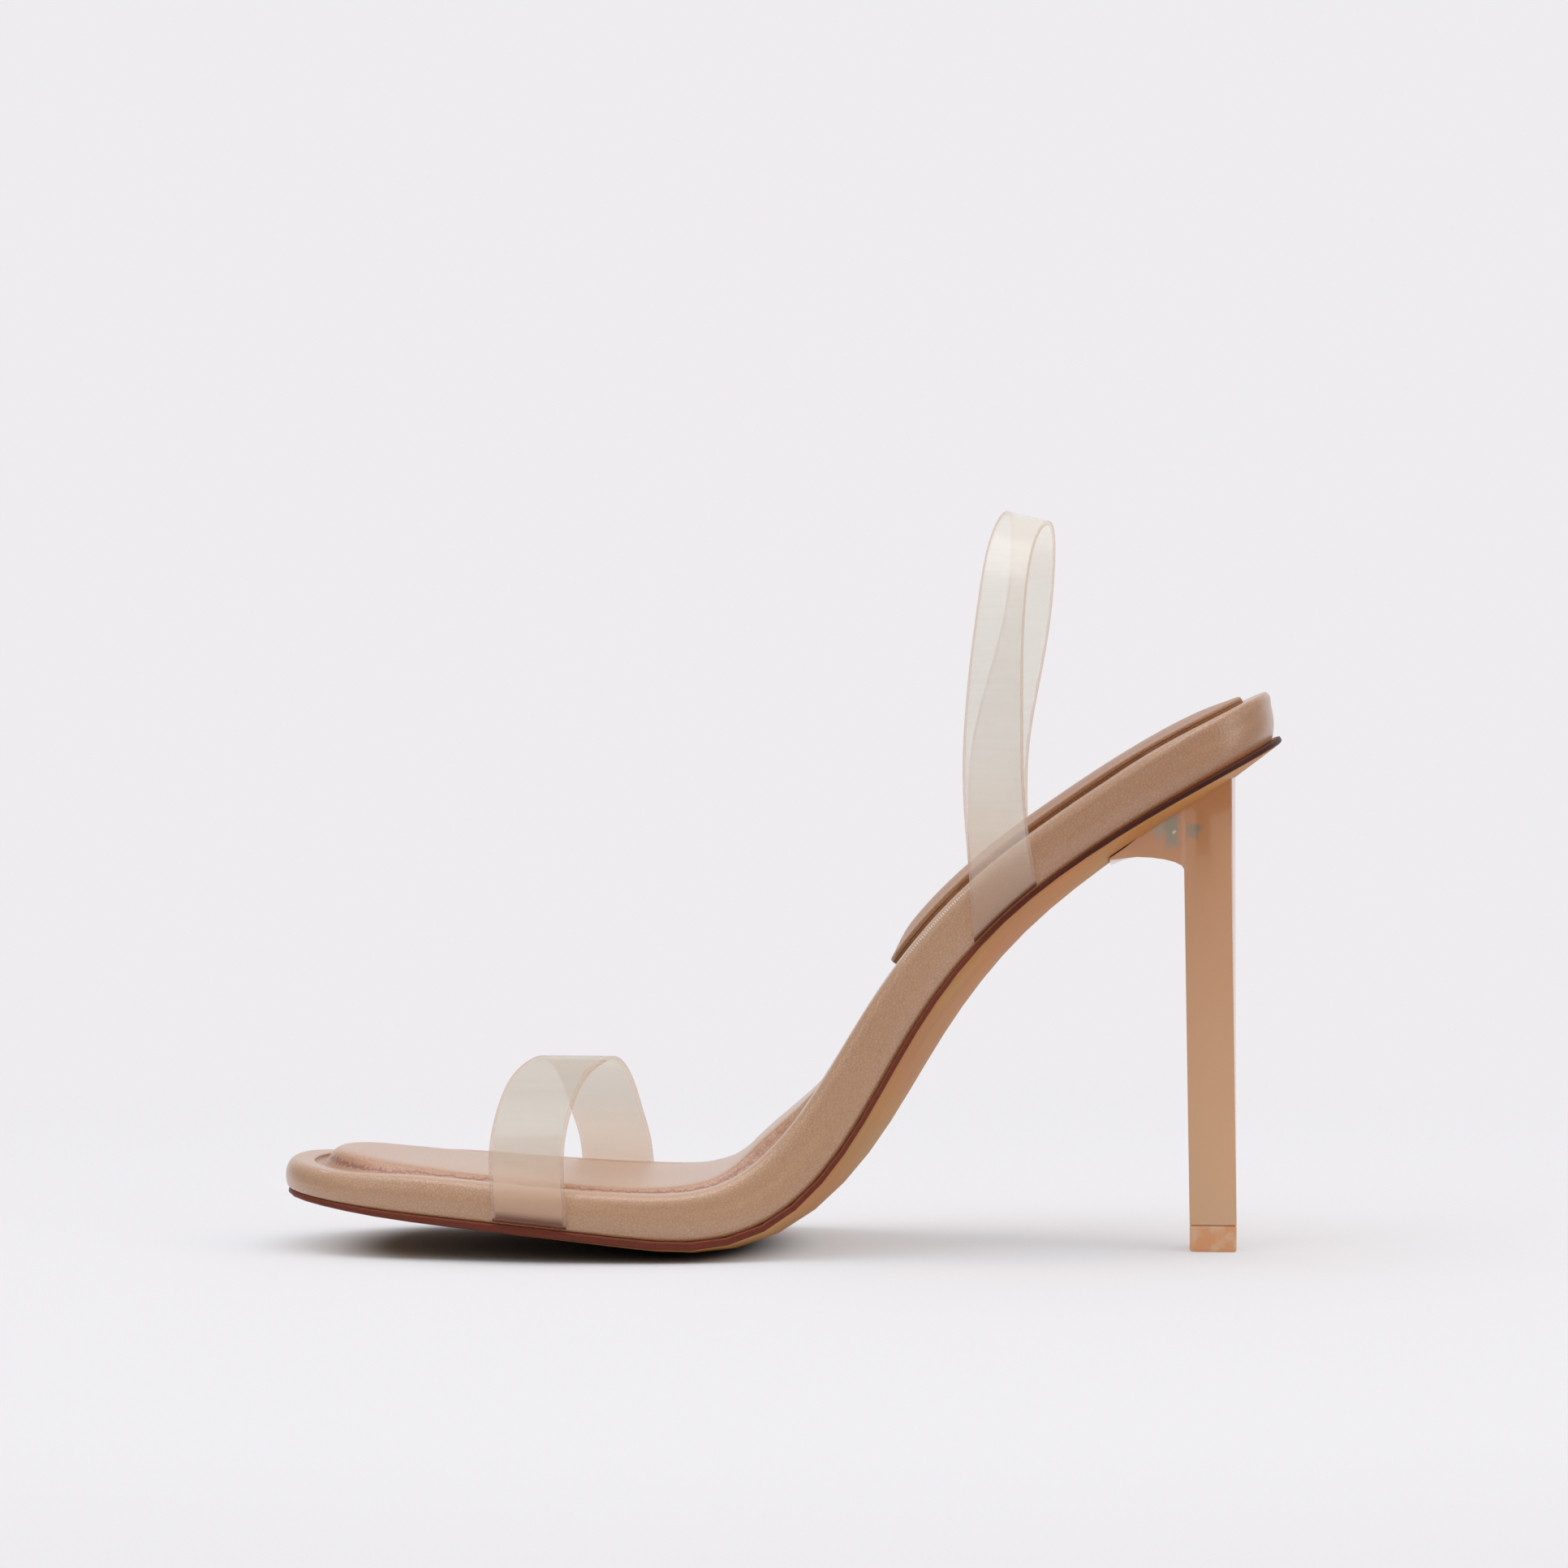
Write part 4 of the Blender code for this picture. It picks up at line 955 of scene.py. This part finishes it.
from_shoe = add_node(tree, "ShaderNodeVectorMath",
                     {"operation": "DISTANCE", 1: (-0.09, 0.0, 0.0)},
                     {0: place.outputs["Object"]})
far_off = add_node(tree, "ShaderNodeMapRange",
                   {"interpolation_type": "SMOOTHERSTEP", "From Min": 0.16, "From Max": 0.50},
                   {"Value": from_shoe.outputs["Value"]})
shares = {}
for name, ellipse in ELLIPSES.items():
    ellipse_map = add_node(tree, "ShaderNodeMapping",
                           {"vector_type": "TEXTURE", "Location": (ellipse.x, ellipse.y, 0.0),
                            "Scale": (ellipse.long, ellipse.wide, 1.0)},
                           {"Vector": place.outputs["Object"]})
    reach = add_node(tree, "ShaderNodeVectorMath", {"operation": "LENGTH"},
                     {0: ellipse_map.outputs[0]})
    share = add_node(tree, "ShaderNodeMapRange",
                     {"interpolation_type": "SMOOTHSTEP", "From Min": ellipse.start,
                      "From Max": ellipse.full, "To Max": ellipse.most},
                     {"Value": reach.outputs["Value"]})
    shares[name] = share.outputs[0]
# Painted light: near the tread the paper glows too, which lifts its shadow
glow_with_painted_light = add_node(tree, "ShaderNodeMath", {"operation": "MAXIMUM"},
                  {0: far_off.outputs[0], 1: shares["glow_with_painted_light"]})
# Painted shade: the paper is cooler near the shoe, and dark grey under the tread as a contact
# shadow
paper_with_painted_cool_shade = add_node(tree, "ShaderNodeMix",
                      {"data_type": "RGBA", 6: linear("#EAE9EC"), 7: linear("#E0E7EE")},
                      {0: shares["in_shade"]})
shaded_paper = add_node(tree, "ShaderNodeMix", {"data_type": "RGBA", 7: linear("#A2AAB2")},
                        {0: shares["painted_shadow_under_tread"], 6: paper_with_painted_cool_shade.outputs[2]})
paper_tone = add_node(tree, "ShaderNodeMix", {"data_type": "RGBA", 7: linear("#000000")},
                      {0: glow_with_painted_light.outputs[0], 6: shaded_paper.outputs[2]})
tree.links.new(paper_tone.outputs[2], shader.inputs["Base Color"])
tree.links.new(glow_with_painted_light.outputs[0], shader.inputs["Emission Strength"])
shader.inputs["Emission Color"].default_value = linear(PAPER)
shader.inputs["Roughness"].default_value = 0.9
shader.inputs["Specular IOR Level"].default_value = 0.0
sweep_mesh.materials.append(paper)

world = bpy.data.worlds.new("studio_air")
world.use_nodes = True
air = world.node_tree.nodes["Background"]
way_up = add_node(world.node_tree, "ShaderNodeTexCoord")
rise = add_node(world.node_tree, "ShaderNodeSeparateXYZ", links={0: way_up.outputs["Generated"]})
dome = add_node(world.node_tree, "ShaderNodeMapRange", {"To Min": AIR_LOW, "To Max": AIR_HIGH},
                {"Value": rise.outputs["Z"]})
world.node_tree.links.new(dome.outputs[0], air.inputs["Strength"])
air.inputs["Color"].default_value = linear("#FFFFFF")
bpy.context.scene.world = world

Softbox = namedtuple("Softbox", "name place aim width height power")
SOFTBOXES = (
    Softbox("top_softbox", (-0.10, -0.20, 1.50), (-0.10, 0.0, 0.0), 1.6, 1.2, 9.0),
    Softbox("front_softbox", (-1.15, -1.10, 0.70), (-0.10, 0.0, 0.06), 0.7, 0.9, 1.5),
    Softbox("heel_softbox", (1.30, -0.40, 0.60), (-0.05, 0.0, 0.06), 0.5, 0.9, 2.4),
)
for box in SOFTBOXES:
    lamp = bpy.data.lights.new(box.name, "AREA")
    lamp.shape = "RECTANGLE"
    lamp.size = box.width
    lamp.size_y = box.height
    lamp.energy = box.power
    holder = bpy.data.objects.new(box.name, lamp)
    holder.location = box.place
    towards = Vector(box.aim) - Vector(box.place)
    holder.rotation_euler = towards.to_track_quat("-Z", "Y").to_euler()
    bpy.context.scene.collection.objects.link(holder)

CAMERA_PLACE = Vector((0.0051, -1.2956, 0.1449))
CAMERA_AIM = Vector((-0.09231, 0.0, 0.09955))
camera_data = bpy.data.cameras.new("studio_camera")
camera_data.lens = 138.8
camera_data.sensor_width = 36.0
camera = bpy.data.objects.new("studio_camera", camera_data)
camera.location = CAMERA_PLACE
camera.rotation_euler = (CAMERA_AIM - CAMERA_PLACE).to_track_quat("-Z", "Y").to_euler()
bpy.context.scene.collection.objects.link(camera)
bpy.context.scene.camera = camera
bpy.context.scene.view_settings.view_transform = "Standard"
